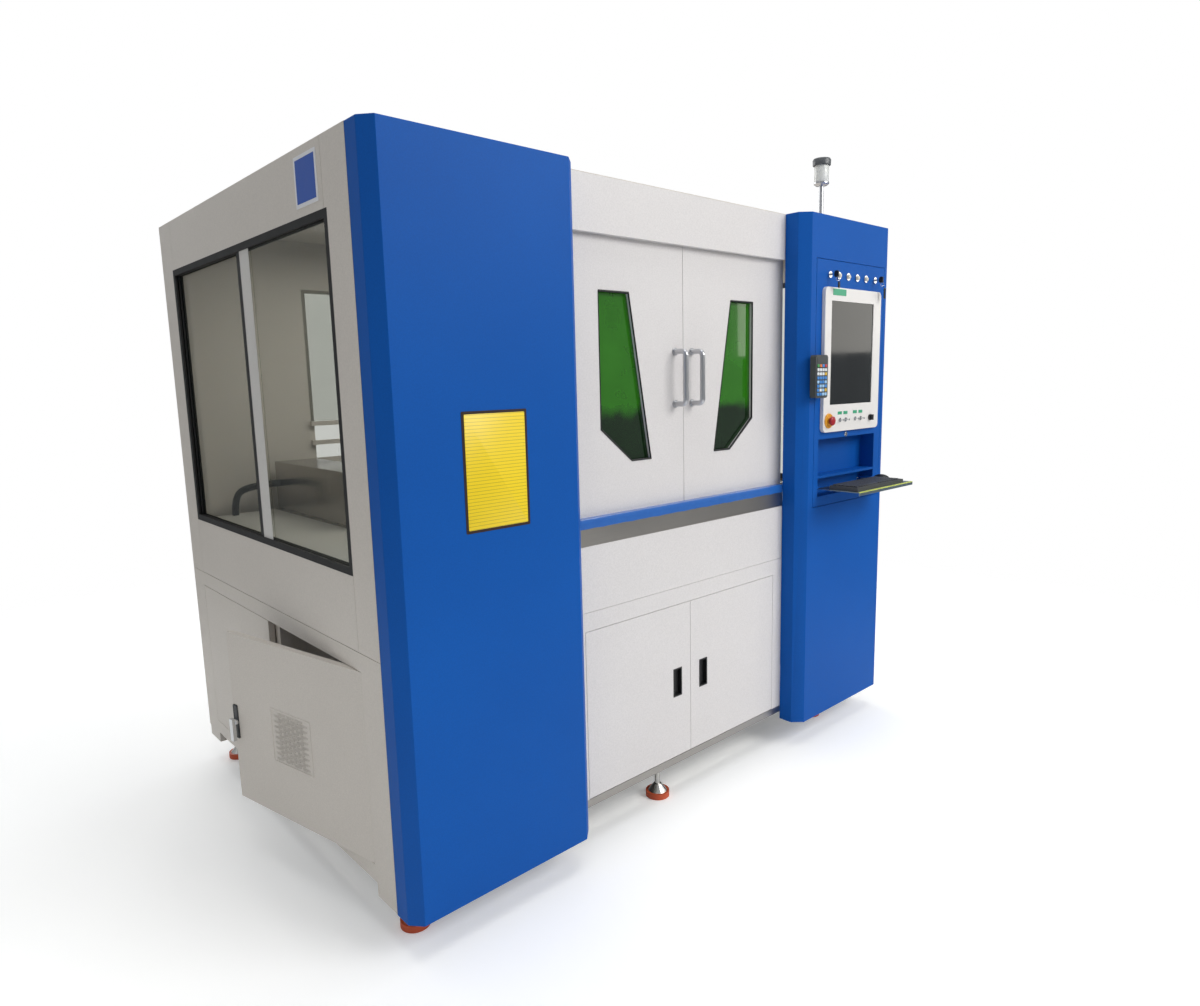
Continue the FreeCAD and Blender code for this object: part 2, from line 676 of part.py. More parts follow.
def door_window(side):
    """Green laser safety glass held in the door's rebate."""
    label = "door_window_" + side
    body = doc.addObject("PartDesign::Body", label + "_body")
    pane = sketch_on(body, label + "_outline", "XZ_Plane")
    points = []
    for x, z in window_corners("glass_lap"):
        across = "leaf_reach - (%s)" % x if side == "left" else x
        points.append((across, "(%s) - slide_z" % z))
    outline(pane, points)
    pad(body, label + "_pad", pane, "glass_d", True)
    x = "wide / 2 - leaf_reach" if side == "left" else "wide / 2"
    place(body, x, "slide_y + slide_d - glass_d - 1", "slide_z")
    node(body, label)


def door_handle(side):
    """Bent tube handle with two round feet on the sliding door."""
    label = "door_handle_" + side
    x = mirror_x(side, "wide / 2 - grip_x")
    axis = "slide_y - grip_out"
    top = "grip_z + grip_high"
    low_turn = FreeCAD.Rotation(FreeCAD.Vector(0, -1, 0), FreeCAD.Vector(0, 0, -1),
                                FreeCAD.Vector(1, 0, 0), "XYZ")
    top_turn = FreeCAD.Rotation(FreeCAD.Vector(0, 0, 1), FreeCAD.Vector(0, -1, 0),
                                FreeCAD.Vector(1, 0, 0), "XYZ")
    leg = "grip_out - grip_bend"
    things = [rod(label + "_bar", x, axis, "grip_z + grip_bend", "grip_r", "grip_high - 2 * grip_bend"),
              rod(label + "_leg_low", x, "slide_y", "grip_z", "grip_r", leg, FORWARD),
              rod(label + "_leg_top", x, "slide_y", top, "grip_r", leg, FORWARD),
              rod(label + "_foot_low", x, "slide_y", "grip_z", "grip_r + 4", "4", FORWARD),
              rod(label + "_foot_top", x, "slide_y", top, "grip_r + 4", "4", FORWARD),
              bend(label + "_bend_low", x, axis + " + grip_bend", "grip_z + grip_bend",
                   "grip_bend", "grip_r", low_turn),
              bend(label + "_bend_top", x, axis + " + grip_bend", top + " - grip_bend",
                   "grip_bend", "grip_r", top_turn)]
    node(join(label, things), label)


def door_track():
    """Aluminium channels that guide the sliding doors above and below."""
    x = "2 + post_w"
    w = "wide - 2 * (2 + post_w)"
    y = "slide_y - 5"
    d = "slide_d + 10"
    slot_y = "slide_y - slide_gap"
    slot_d = "slide_d + 2 * slide_gap"
    top = "slide_z + slide_high"
    low = box("track_low", x, y, "slide_z - 11", w, d, "21")
    low_slot = box("track_low_slot", "%s - 1" % x, slot_y, "slide_z - 0.5", "%s + 2" % w, slot_d, "20")
    high = box("track_top", x, y, top + " - 15", w, d, "24")
    high_slot = box("track_top_slot", "%s - 1" % x, slot_y, top + " - 16", "%s + 2" % w, slot_d, "19")
    solids = [cut("track_low_cut", low, [low_slot]), cut("track_top_cut", high, [high_slot])]
    node(group("door_track", solids), "door_track")


def end_frame(side):
    """End wall: posts, upper panel round the window and lower frame or panel."""
    label = side + "_end_frame"
    edge = mirror_x(side, "0", "skin")
    sheet_box = box(label + "_upper", edge, "0", "seam_z + 1", "skin", "deep - skin",
                    "high - seam_z - 1 - skin")
    hole = box(label + "_window", "(%s) - 1" % edge, "win_y", "win_z", "skin + 2",
               "deep - 2 * win_y", "win_high")
    seams = []
    for end, y, z, tall in (("low", "win_y", "seam_z", "win_z - seam_z"),
                            ("top", "fold_y", "win_z + win_high", "high - win_z - win_high")):
        for near, at in (("front", y), ("back", "deep - " + y)):
            seams.append(box("%s_seam_%s_%s" % (label, end, near),
                             mirror_x(side, "groove_d - skin", "skin"), "(%s) - groove_w / 2" % at,
                             z, "skin", "groove_w", tall))
    things = [cut(label + "_upper_cut", sheet_box, [hole] + seams)]
    for end, y in (("front", "0"), ("back", "deep - skin - post_d")):
        things.append(box("%s_post_%s" % (label, end), mirror_x(side, "skin", "post_w"), y, "0",
                          "post_w", "post_d", "high - skin"))
    if side == "left":
        lower = box(label + "_lower", "0", "0", "skirt_z", "bar_d", "deep - skin",
                    "seam_z - 1 - skirt_z")
        inside = box(label + "_doorway", "-1", "side_y - gap", "side_z - gap", "bar_d + 2",
                     "deep - 2 * side_y + 2 * gap", "side_high + 2 * gap")
        things.append(cut(label + "_lower_cut", lower, [inside]))
        things.append(box(label + "_jamb", "leaf + 5", "deep / 2 - jamb_w / 2", "skirt_z",
                          "skin + post_w - leaf - 5", "jamb_w", "seam_z - 1 - skirt_z"))
        for end, z, tall in (("low", "skirt_z", "side_z - gap - skirt_z"),
                             ("top", "side_z + side_high + gap",
                              "seam_z - 1 - side_z - side_high - gap")):
            things.append(box("%s_jamb_%s" % (label, end), "bar_d - 1", "deep / 2 - jamb_w / 2", z,
                              "leaf + 7 - bar_d", "jamb_w", tall))
        for number, y in enumerate(("side_y + hinge_in", "deep - side_y - hinge_in")):
            for end, z in (("low", "side_z - gap - 1"), ("top", "side_z + side_high - pin_long")):
                things.append(rod("%s_pin_%s_%d" % (label, end, number), "hinge_deep", y, z,
                                  "pin_r", "pin_long + gap + 1"))
    else:
        things.append(box(label + "_lower", edge, "0", "skirt_z", "skin", "deep - skin",
                          "seam_z - 1 - skirt_z"))
    node(join(label, things), label)


def rear_panel():
    """Back wall with two windows, each crossed by two guard bars."""
    wall = box("rear_sheet", "0", "deep - skin", "skirt_z", "wide", "skin", "high - skirt_z - skin")
    holes = []
    bars = []
    for side in ("left", "right"):
        x = mirror_x(side, "rear_x", "rear_w")
        holes.append(box("rear_hole_" + side, x, "deep - skin - 1", "rear_z", "rear_w", "skin + 2",
                         "rear_high"))
        for number, z in enumerate(("bar_low", "bar_top")):
            bars.append(box("rear_bar_%s_%d" % (side, number), "(%s) - bar_w" % x,
                            "deep - skin - bar_w", z, "rear_w + 2 * bar_w", "bar_w", "bar_w"))
    things = [cut("rear_cut", wall, holes)] + bars
    node(join("rear_panel", things), "rear_panel")


def end_window_frame():
    """Black window frames of both ends, with two grooves for the panes."""
    solids = []
    for side in ("left", "right"):
        x = mirror_x(side, "0.5", "frame_d")
        outer = box("glazing_outer_" + side, x, "win_y", "win_z", "frame_d", "deep - 2 * win_y",
                    "win_high")
        tools = [box("glazing_inner_" + side, "(%s) - 1" % x, "win_y + frame_w", "win_z + frame_w",
                     "frame_d + 2", "deep - 2 * win_y - 2 * frame_w", "win_high - 2 * frame_w")]
        for number, at in enumerate(("8", "18")):
            slot = "pane_d + 2 * pane_gap"
            tools.append(box("glazing_groove_%s_%d" % (side, number),
                             mirror_x(side, "%s - pane_gap" % at, slot), "win_y + frame_w - groove",
                             "win_z + frame_w - groove", slot,
                             "deep - 2 * win_y - 2 * frame_w + 2 * groove",
                             "win_high - 2 * frame_w + 2 * groove"))
        solids.append(cut("glazing_" + side, outer, tools))
    node(group("end_window_frame", solids), "end_window_frame")


def pane_box(name, side, track, far):
    """One window pane in its groove, with a stile at its inner edge."""
    length = "deep / 2 - win_y - frame_w + groove + 5"
    stile_w = "stile_far" if far else "stile_near"
    y = "win_y + frame_w - groove + 0.5" if not far else "deep - (win_y + frame_w - groove + 0.5) - (%s)" % length
    z = "win_z + frame_w - groove + 0.3"
    tall = "win_high - 2 * frame_w + 2 * groove - 0.8"
    glass = box(name + "_glass", mirror_x(side, track, "pane_d"), y, z, "pane_d", length, tall)
    stile_y = y if far else "(%s) + (%s) - %s" % (y, length, stile_w)
    stile = box(name + "_stile", mirror_x(side, "%s - 2" % track, "pane_d + 4"), stile_y,
                "win_z + frame_w + 1", "pane_d + 4", stile_w, "win_high - 2 * frame_w - 2")
    return join(name, [glass, stile])


def end_pane_front():
    """Sliding front pane of the left end window."""
    node(pane_box("sliding_pane", "left", "8", False), "end_pane_front")


def fixed_panes():
    """Fixed panes of the end windows and the rear windows."""
    solids = [pane_box("fixed_left_back", "left", "18", True),
              pane_box("fixed_right_front", "right", "8", False),
              pane_box("fixed_right_back", "right", "18", True)]
    for side in ("left", "right"):
        x = mirror_x(side, "rear_x - rear_lap", "rear_w + 2 * rear_lap")
        y = "deep - skin - pane_d"
        z = "bar_top + bar_w + slide_gap"
        solids.append(box("rear_pane_" + side, x, y, z, "rear_w + 2 * rear_lap", "pane_d",
                          "rear_z + rear_high + rear_lap - (%s)" % z))
    node(group("fixed_panes", solids), "fixed_panes")


def roof_panel():
    """Roof sheet with its folded exhaust collar."""
    top = box("roof_sheet", "0", "0", "high - skin", "wide", "deep", "skin")
    hole = rod("roof_hole", MID, "duct_y", "high - 2 * skin", "duct_r - skin", "4 * skin")
    ring = rod("duct_outer", MID, "duct_y", "high - skin", "duct_r", "duct_high + skin")
    bore = rod("duct_bore", MID, "duct_y", "high - skin - 1", "duct_r - skin", "duct_high + 4 * skin")
    things = [cut("roof_cut", top, [hole]), cut("duct_cut", ring, [bore])]
    node(join("roof_panel", things), "roof_panel")


def feet_places():
    places = []
    for row, y in enumerate(("foot_y", "deep - foot_y")):
        for number in range(3):
            places.append(("%d_%d" % (row, number), "foot_x + %d * foot_step" % number, y))
    return places


def foot_pads():
    """Rubber pads under the six levelling feet."""
    solids = []
    for tag, x, y in feet_places():
        solids.append(rod("pad_" + tag, x, y, "0 - foot_high", "pad_r", "pad_high"))
    node(group("foot_pads", solids), "foot_pads")


def foot_studs():
    """Steel cones, studs and lock nuts of the levelling feet."""
    solids = []
    for tag, x, y in feet_places():
        shell = cone("cone_" + tag, x, y, "0 - foot_high + pad_high", "pad_r - 9", "stud_r + 5", "26")
        stud = rod("stud_" + tag, x, y, "0 - foot_high + pad_high + 20", "stud_r",
                   "foot_high - pad_high - 20")
        nut = doc.addObject("Part::Prism", "nut_" + tag)
        nut.Polygon = 6
        bind(nut, "Circumradius", "stud_r + 7")
        bind(nut, "Height", "12")
        place(nut, x, y, "-12")
        solids.append(join("foot_" + tag, [shell, stud, nut]))
    node(group("foot_studs", solids), "foot_studs")


def side_door(name, near):
    """Lower side door, built about its hinge axis; the front one has a louvre panel."""
    body = doc.addObject("PartDesign::Body", name + "_body")
    width = "deep / 2 - side_y - 1"
    leaf = sketch_on(body, name + "_outline", "XY_Plane")
    sign = "" if near else "0 - "
    far = "%s(%s - hinge_in)" % (sign, width)
    back = "0 - hinge_in" if near else "hinge_in"
    outline(leaf, [("0 - hinge_deep", back), ("leaf - hinge_deep", back), ("leaf - hinge_deep", far),
                   ("0 - hinge_deep", far)])
    pad(body, name + "_pad", leaf, "side_high")
    tray = sketch_on(body, name + "_tray", "XY_Plane", "25")
    outline(tray, [("skin - hinge_deep", "%s14" % sign), ("leaf - hinge_deep + 1", "%s14" % sign),
                   ("leaf - hinge_deep + 1", "%s(%s - hinge_in - 40)" % (sign, width)),
                   ("skin - hinge_deep", "%s(%s - hinge_in - 40)" % (sign, width))])
    pocket(body, name + "_tray_cut", tray, "side_high - 50", True)
    bores = []
    for end, z in (("low", "-0.01"), ("top", "side_high - pin_long - 1")):
        hole = doc.addObject("Part::Cylinder", "%s_bore_%s" % (name, end))
        bind(hole, "Radius", "pin_r + pin_gap")
        bind(hole, "Height", "pin_long + 1.02")
        bind(hole, "Placement.Base.z", z)
        bores.append(hole)
    if near:
        bores += louvres(name)
    bolt = doc.addObject("Part::Cylinder", name + "_spindle_bore")
    bolt.Placement = FreeCAD.Placement(FreeCAD.Vector(), X_AXIS)
    bind(bolt, "Radius", "6.05")
    bind(bolt, "Height", "leaf + 2")
    bind(bolt, "Placement.Base.x", "0 - hinge_deep - 1")
    bind(bolt, "Placement.Base.y", "%slatch_s" % sign)
    bind(bolt, "Placement.Base.z", "latch_z")
    bores.append(bolt)
    door = cut(name, body, bores)
    place(door, "hinge_deep", "side_y + hinge_in" if near else "deep - side_y - hinge_in", "side_z")
    if near:
        door.Placement.Rotation = FreeCAD.Rotation(FreeCAD.Vector(0, 0, 1), 1)
        bind(door, "Placement.Rotation.Angle", "ajar")
    node(door, name)


def louvres(name):
    """Rows of short slits, every second row stepped sideways by half a pitch."""
    slits = []
    rows = int(VALUE["vent_high"] // (2.8 * VALUE["slit_high"]))
    across = int(VALUE["vent_w"] // (1.2 * VALUE["slit_w"]))
    for row in range(rows):
        count = across if row % 2 == 0 else across - 1
        for number in range(count):
            slit = doc.addObject("Part::Box", "%s_slit_%02d_%d" % (name, row, number))
            bind(slit, "Length", "skin + 2")
            bind(slit, "Width", "slit_w")
            bind(slit, "Height", "slit_high")
            bind(slit, "Placement.Base.x", "0 - hinge_deep - 1")
            bind(slit, "Placement.Base.y", "vent_s + 6 + %s * slit_w" % (1.2 * (number + 0.5 * (row % 2))))
            bind(slit, "Placement.Base.z", "vent_z + 5 + %s * slit_high" % (2.8 * row))
            slits.append(slit)
    return slits


def side_latch(name, near):
    """Lever latch: a spindle through the door, a boss, a lever and an inner cam."""
    sign = "" if near else "0 - "
    things = []
    parts = [("spindle", "6", "leaf + 12", "0 - hinge_deep - 8"),
             ("boss", "13", "10", "0 - hinge_deep - 10.3")]
    for tag, radius, length, x in parts:
        thing = doc.addObject("Part::Cylinder", "%s_%s" % (name, tag))
        thing.Placement = FreeCAD.Placement(FreeCAD.Vector(), X_AXIS)
        bind(thing, "Radius", radius)
        bind(thing, "Height", length)
        bind(thing, "Placement.Base.x", x)
        bind(thing, "Placement.Base.y", "%slatch_s" % sign)
        bind(thing, "Placement.Base.z", "latch_z")
        things.append(thing)
    for tag, x, y, z, lx, ly, lz in (
            ("lever", "0 - hinge_deep - 22", "latch_s - 9", "latch_z - 62", "12", "18", "76"),
            ("cam", "leaf - hinge_deep + 0.5", "latch_s - 7", "latch_z - 7", "3.5", "14", "20")):
        thing = doc.addObject("Part::Box", "%s_%s" % (name, tag))
        bind(thing, "Length", lx)
        bind(thing, "Width", ly)
        bind(thing, "Height", lz)
        bind(thing, "Placement.Base.x", x)
        bind(thing, "Placement.Base.y", y if near else "0 - (%s) - (%s)" % (y, ly))
        bind(thing, "Placement.Base.z", z)
        things.append(thing)
    latch = join(name, things)
    place(latch, "hinge_deep", "side_y + hinge_in" if near else "deep - side_y - hinge_in", "side_z")
    if near:
        latch.Placement.Rotation = FreeCAD.Rotation(FreeCAD.Vector(0, 0, 1), 1)
        bind(latch, "Placement.Rotation.Angle", "ajar")
    node(latch, name)


# ---------------------------------------------------------------- inside

def rail_covers():
    """Stainless boxes over the drive racks, with a bottom flange and end cap."""
    solids = []
    for side in ("left", "right"):
        x = mirror_x(side, "cover_x", "cover_w")
        flange_x = mirror_x(side, "cover_x - 14", "14")
        long = "cover_end - cover_y"
        outer = box("cover_outer_" + side, x, "cover_y", "deck_z", "cover_w", long, "cover_high")
        inner = box("cover_inner_" + side, "(%s) + skin" % x, "cover_y + skin", "deck_z - 1",
                    "cover_w - 2 * skin", long + " - 2 * skin", "cover_high - skin + 1")
        shell = cut("cover_shell_" + side, outer, [inner])
        flange = box("cover_flange_" + side, flange_x, "cover_y", "deck_z", "14", long, "skin")
        solids.append(join("cover_" + side, [shell, flange]))
    node(group("rail_covers", solids), "rail_covers")


def gantry_ways():
    """Beams with guide rails on which the gantry runs to and fro."""
    solids = []
    for side in ("left", "right"):
        x = mirror_x(side, "way_x", "way_w")
        rail_x = mirror_x(side, "way_x + way_w / 2 - rail_w / 2", "rail_w")
        long = "cover_end - way_y"
        beam = box("way_" + side, x, "way_y", "deck_z", "way_w", long, "way_high")
        rail = box("way_rail_" + side, rail_x, "way_y", "deck_z + way_high", "rail_w", long, "rail_high")
        solids.append(join("way_pair_" + side, [beam, rail]))
    node(group("gantry_ways", solids), "gantry_ways")


def gantry_beam():
    """Cross beam on two trucks that straddle the guide rails, with its own rails."""
    base = "deck_z + way_high + run_gap"
    trucks = []
    grooves = []
    for side in ("left", "right"):
        x = mirror_x(side, "way_x", "way_w")
        slot_x = mirror_x(side, "way_x + way_w / 2 - rail_w / 2 - run_gap", "rail_w + 2 * run_gap")
        trucks.append(box("truck_" + side, x, "truck_y", base, "way_w", "truck_long", "truck_high"))
        grooves.append(box("truck_slot_" + side, slot_x, "truck_y - 1", base + " - 1",
                           "rail_w + 2 * run_gap", "truck_long + 2", "rail_high + run_gap + 1"))
    top = base + " + truck_high"
    beam = box("gantry_bar", "way_x", "truck_y + 40", top, "wide - 2 * way_x", "beam_d", "beam_high")
    rails = []
    for number, z in enumerate(("15", "beam_high - 15 - rail_w")):
        rails.append(box("cross_rail_%d" % number, "way_x + way_w", "truck_y + 40 - rail_high",
                         top + " + " + z, "wide - 2 * way_x - 2 * way_w", "rail_high", "rail_w"))
    motor = box("gantry_motor", "way_x + 6", "truck_y + 60", top + " + beam_high", "70", "90", "60")
    node(cut("gantry_beam", join("gantry_solid", trucks + [beam, motor] + rails), grooves), "gantry_beam")


def cross_carriage():
    """Carriage that runs along the beam, with blocks gripping its rails."""
    top = "deck_z + way_high + run_gap + truck_high"
    y = "truck_y + 40 - rail_high - 8 - car_d"
    x = "wide / 2 - car_w / 2"
    plate = box("car_plate", x, y, top + " - 30", "car_w", "car_d", "beam_high + 50")
    block = box("car_block", x, "truck_y + 40 - rail_high - 8", top + " + 8", "car_w",
                "rail_high + 8 - 1", "beam_high - 16")
    grooves = []
    for number, z in enumerate(("15", "beam_high - 15 - rail_w")):
        grooves.append(box("car_slot_%d" % number, "(%s) - 1" % x, "truck_y + 40 - rail_high - run_gap",
                           top + " + " + z + " - run_gap", "car_w + 2", "rail_high + 1",
                           "rail_w + 2 * run_gap"))
    ways = []
    for number, at in enumerate(("wide / 2 - 34", "wide / 2 + 22")):
        ways.append(box("car_way_%d" % number, at, y + " - 8", top + " - 28", "12", "8", "beam_high + 46"))
    solid = join("car_solid", [plate, block] + ways)
    node(cut("cross_carriage", solid, grooves), "cross_carriage")


def cutting_head():
    """Cutting head on its vertical slide: body, collimator, cone and nozzle."""
    low = "deck_z + way_high + run_gap + truck_high - 20"
    back = "truck_y + 40 - rail_high - 8 - car_d - 8 - run_gap"
    axis_y = back + " - 46"
    things = [box("head_plate", "wide / 2 - head_w / 2", back + " - 14", low, "head_w", "14", "head_high"),
              box("head_body", "wide / 2 - 36", back + " - 82", low + " + 20", "72", "70", "150"),
              rod("head_tube", MID, axis_y, low + " + 168", "26", "130"),
              rod("head_fibre_plug", MID, axis_y, low + " + 296", "13", "46"),
              rod("head_ring", MID, axis_y, low + " - 2", "30", "24"),
              cone("head_cone", MID, axis_y, low + " - 52", "9", "28", "52"),
              cone("nozzle", MID, axis_y, low + " - 68", "3", "8", "17")]
    node(join("cutting_head", things), "cutting_head")


def cable_hose():
    """Corrugated hose that rises from the deck and bends over into the rail cover."""
    route = [evaluate(pair) for pair in (("hose_x", "deck_z"), ("hose_x", "deck_z + hose_rise"),
                                         ("hose_x + hose_lean", "hose_z"), ("cover_x", "hose_z"))]
    points = [FreeCAD.Vector(x, 0, z) for x, z in route]
    edges = []
    start = points[0]
    for before, corner, after in zip(points, points[1:], points[2:]):
        ahead = (corner - before).normalize()
        onward = (after - corner).normalize()
        half = ahead.getAngle(onward) / 2
        reach = 0.45 * min((corner - before).Length, (after - corner).Length)
        radius = reach / math.tan(half)
        middle = corner + (onward - ahead).normalize() * (radius / math.cos(half) - radius)
        edges.append(Part.LineSegment(start, corner - ahead * reach).toShape())
        start = corner + onward * reach
        edges.append(Part.Arc(corner - ahead * reach, middle, start).toShape())
        print("hose arc radius", round(radius, 1))
    edges.append(Part.LineSegment(start, points[-1]).toShape())
    path = Part.Wire(edges)
    ring = Part.Wire([Part.Circle(points[0], FreeCAD.Vector(0, 0, 1), VALUE["hose_r"]).toShape()])
    tube = path.makePipeShell([ring], True, True)
    hose = doc.addObject("Part::Feature", "cable_hose")
    hose.Shape = tube
    place(hose, "0", "hose_y", "0")
    expected = math.pi * VALUE["hose_r"] ** 2 * path.Length
    if abs(tube.Volume - expected) > 0.01 * expected:
        raise RuntimeError("the hose's volume is wrong")
    node(hose, "cable_hose")


# ---------------------------------------------------------------- controls

def control_panel():
    """Inset panel of the right column: plate, screen opening and keyboard cubby."""
    y = "0 - column_out"
    plate = box("panel_plate", "panel_x", y, "panel_z", "panel_w", "skin", "panel_high")
    flange = []
    for end, z in (("low", "panel_z"), ("top", "panel_z + panel_high - skin")):
        flange.append(box("panel_fold_" + end, "panel_x", y, z, "panel_w", "8", "skin"))
    tub = box("cubby_outer", "cubby_x - skin", y, "cubby_z - skin", "cubby_w + 2 * skin",
              "cubby_d + skin", "cubby_high + 2 * skin")
    solid = join("panel_solid", [plate, tub] + flange)
    tools = [box("cubby_inner", "cubby_x", y + " - 1", "cubby_z", "cubby_w", "cubby_d + 1",
                 "cubby_high"),
             box("panel_screen_hole", "bezel_x + 14", y + " - 1", "bezel_z + 14", "bezel_w - 28",
                 "skin + 2", "bezel_high - 28")]
    for at in lock_places():
        tools.append(rod("panel_lock_hole_%s" % at, at, y + " - 1", "switch_z", "9.1", "skin + 2",
                         Y_AXIS))
    for number in range(4):
        tools.append(rod("panel_button_hole_%d" % number, button_place(number), y + " - 1", "switch_z",
                         "switch_r + 0.1", "skin + 2", Y_AXIS))
    things = [box("cubby_shelf", "cubby_x - 1", y + " + 1", "shelf_z - skin", "cubby_w + 2",
                  "cubby_d", "skin"),
              box("cubby_shelf_fold", "cubby_x - 1", y + " + 1", "shelf_z - shelf_lip",
                  "cubby_w + 2", "skin", "shelf_lip")]
    for side in ("left", "right"):
        ledge_x = cubby_side(side, "ledge_w", "-1")
        for level, z in (("under", "tray_z - tray_d - slide_gap - ledge_high"),
                         ("over", "tray_z + slide_gap")):
            things.append(box("tray_ledge_%s_%s" % (level, side), ledge_x, y + " + 1", z,
                              "ledge_w", "cubby_d", "ledge_high"))
        tools.append(box("tray_slot_" + side, cubby_side(side, "arm_w + 2", "2"),
                         y + " + cubby_d - 1", "tray_z - tray_d - 1", "arm_w + 2", "skin + 2",
                         "tray_d + 2"))
    panel = cut("panel_cut", solid, tools)
    node(join("control_panel", [panel] + things), "control_panel")


def cubby_side(side, width, inset):
    """Left edge of a piece of this width at one side wall of the cubby."""
    if side == "left":
        return "cubby_x + (%s)" % inset
    return "cubby_x + cubby_w - (%s) - (%s)" % (width, inset)


def lock_places():
    return ["lock_left", "lock_right"]


def button_place(number):
    return "switch_x + %d * switch_step" % number


def toggle_place(number):
    return "toggle_x + %d * toggle_step + %d * toggle_skip" % (number, number // 2)


def rounded_plate(name, x, z, w, tall, radius, face, depth):
    """Upright plate with round corners: two crossed boxes and four rods."""
    inner_w = "%s - 2 * %s" % (w, radius)
    inner_h = "%s - 2 * %s" % (tall, radius)
    things = [box(name + "_across", x, face, "%s + %s" % (z, radius), w, depth, inner_h),
              box(name + "_up", "%s + %s" % (x, radius), face, z, inner_w, depth, tall)]
    for number, (dx, dz) in enumerate(((radius, radius), (w + " - " + radius, radius),
                                       (radius, tall + " - " + radius),
                                       (w + " - " + radius, tall + " - " + radius))):
        things.append(rod("%s_corner_%d" % (name, number), "%s + %s" % (x, dx), face,
                          "%s + %s" % (z, dz), radius, depth, Y_AXIS))
    return join(name, things)


def screen_bezel():
    """White bezel with round corners, a screen opening and switch holes."""
    face = "0 - column_out - bezel_d"
    plate = rounded_plate("bezel_plate", "bezel_x", "bezel_z", "bezel_w", "bezel_high", "bezel_r",
                          face, "bezel_d")
    tools = [box("bezel_screen", "screen_x", face + " - 1", "screen_z", "screen_w", "bezel_d + 2",
                 "screen_high"),
             rod("bezel_stop_hole", "stop_x", face + " - 1", "row_z", "11", "bezel_d + 2", Y_AXIS),
             rod("bezel_knob_hole", "knob_x", face + " - 1", "row_z", "6.05", "bezel_d + 2", Y_AXIS)]
    for number in range(4):
        tools.append(rod("bezel_toggle_hole_%d" % number, toggle_place(number), face + " - 1", "row_z",
                         "6", "bezel_d + 2", Y_AXIS))
    node(cut("screen_bezel", plate, tools), "screen_bezel")


def screen():
    """Display unit: glass in the bezel's opening and its housing behind the panel."""
    face = "0 - column_out - bezel_d + screen_in"
    glass = box("screen_glass", "screen_x + 0.5", face, "screen_z + 0.5", "screen_w - 1",
                "bezel_d - screen_in + 1", "screen_high - 1")
    house = box("screen_house", "bezel_x + 16", "0 - column_out", "bezel_z + 80", "bezel_w - 32",
                "screen_d", "bezel_high - 110")
    node(join("screen", [glass, house]), "screen")


def keyboard_tray():
    """Pull-out tray that carries the keyboard: plate, front fold and two slide arms."""
    y = "0 - column_out - tray_out"
    low = "tray_z - tray_d"
    things = [box("tray_plate", "cubby_x + 3", y, low, "cubby_w - 6", "tray_out + tray_in", "tray_d"),
              box("tray_fold", "cubby_x + 3", y, "tray_z - 14", "cubby_w - 6", "tray_d", "14")]
    for side in ("left", "right"):
        things.append(box("tray_arm_" + side, cubby_side(side, "arm_w", "3"),
                          "0 - column_out + tray_in - 1", low, "arm_w", "arm_long + 1", "tray_d"))
    node(join("keyboard_tray", things), "keyboard_tray")


def keyboard():
    """Keyboard case with its rows of key caps."""
    x = "cubby_x + 14"
    y = "0 - column_out - tray_out + 14"
    things = [box("keyboard_case", x, y, "tray_z", "keys_w", "keys_d", "keys_high")]
    columns = int((VALUE["keys_w"] - 18) // VALUE["key_step"])
    rows = int((VALUE["keys_d"] - 12) // VALUE["key_step"])
    for row in range(rows):
        column = 0
        while column < columns:
            span = 5 if row == 0 and column == 4 else 1
            things.append(box("key_%d_%02d" % (row, column),
                              "%s + 10 + %d * key_step" % (x, column),
                              "%s + 8 + %d * key_step" % (y, row), "tray_z + keys_high",
                              "%d * key_step - 3" % span, "key_step - 3", "5"))
            column += span
    node(join("keyboard", things), "keyboard")


def mouse():
    """Small mouse on the right rear of the tray."""
    shell = doc.addObject("Part::Ellipsoid", "mouse_shell")
    bind(shell, "Radius1", "22")
    bind(shell, "Radius2", "21")
    bind(shell, "Radius3", "40")
    x = "cubby_x + cubby_w - 37"
    y = "0 - column_out - 62"
    place(shell, x, y, "tray_z + 4")
    keep = box("mouse_keep", "%s - 40" % x, "%s - 60" % y, "tray_z", "80", "120", "60")
    half = doc.addObject("Part::Common", "mouse")
    half.Base = shell
    half.Tool = keep
    node(half, "mouse")


def control_collars():
    """Fixed collars of the buttons, key switches, emergency stop and knob."""
    face = "0 - column_out"
    rim = "0 - column_out - bezel_d"
    solids = []
    for number in range(4):
        at = button_place(number)
        ring = rod("collar_ring_%d" % number, at, face, "switch_z", "switch_r + 4", "4", FORWARD)
        sleeve = rod("collar_sleeve_%d" % number, at, face + " + 18", "switch_z", "switch_r", "18", FORWARD)
        bore = rod("collar_bore_%d" % number, at, face + " + 14", "switch_z", "switch_r - 2", "40", FORWARD)
        solid = join("collar_solid_%d" % number, [ring, sleeve])
        solids.append(cut("collar_%d" % number, solid, [bore]))
    for number, at in enumerate(lock_places()):
        ring = rod("lock_ring_%d" % number, at, face, "switch_z", "13", "5", FORWARD)
        sleeve = rod("lock_sleeve_%d" % number, at, face + " + 20", "switch_z", "9", "20", FORWARD)
        bore = rod("lock_bore_%d" % number, at, face + " + 12", "switch_z", "5.05", "30", FORWARD)
        solid = join("lock_solid_%d" % number, [ring, sleeve])
        solids.append(cut("lock_%d" % number, solid, [bore]))
    stop = rod("stop_ring", "stop_x", rim, "row_z", "24", "6", FORWARD)
    stem = rod("stop_sleeve", "stop_x", rim + " + 20", "row_z", "11", "20", FORWARD)
    bore = rod("stop_bore", "stop_x", rim + " + 16", "row_z", "8.05", "40", FORWARD)
    solids.append(cut("stop_collar", join("stop_solid", [stop, stem]), [bore]))
    node(group("control_collars", solids), "control_collars")


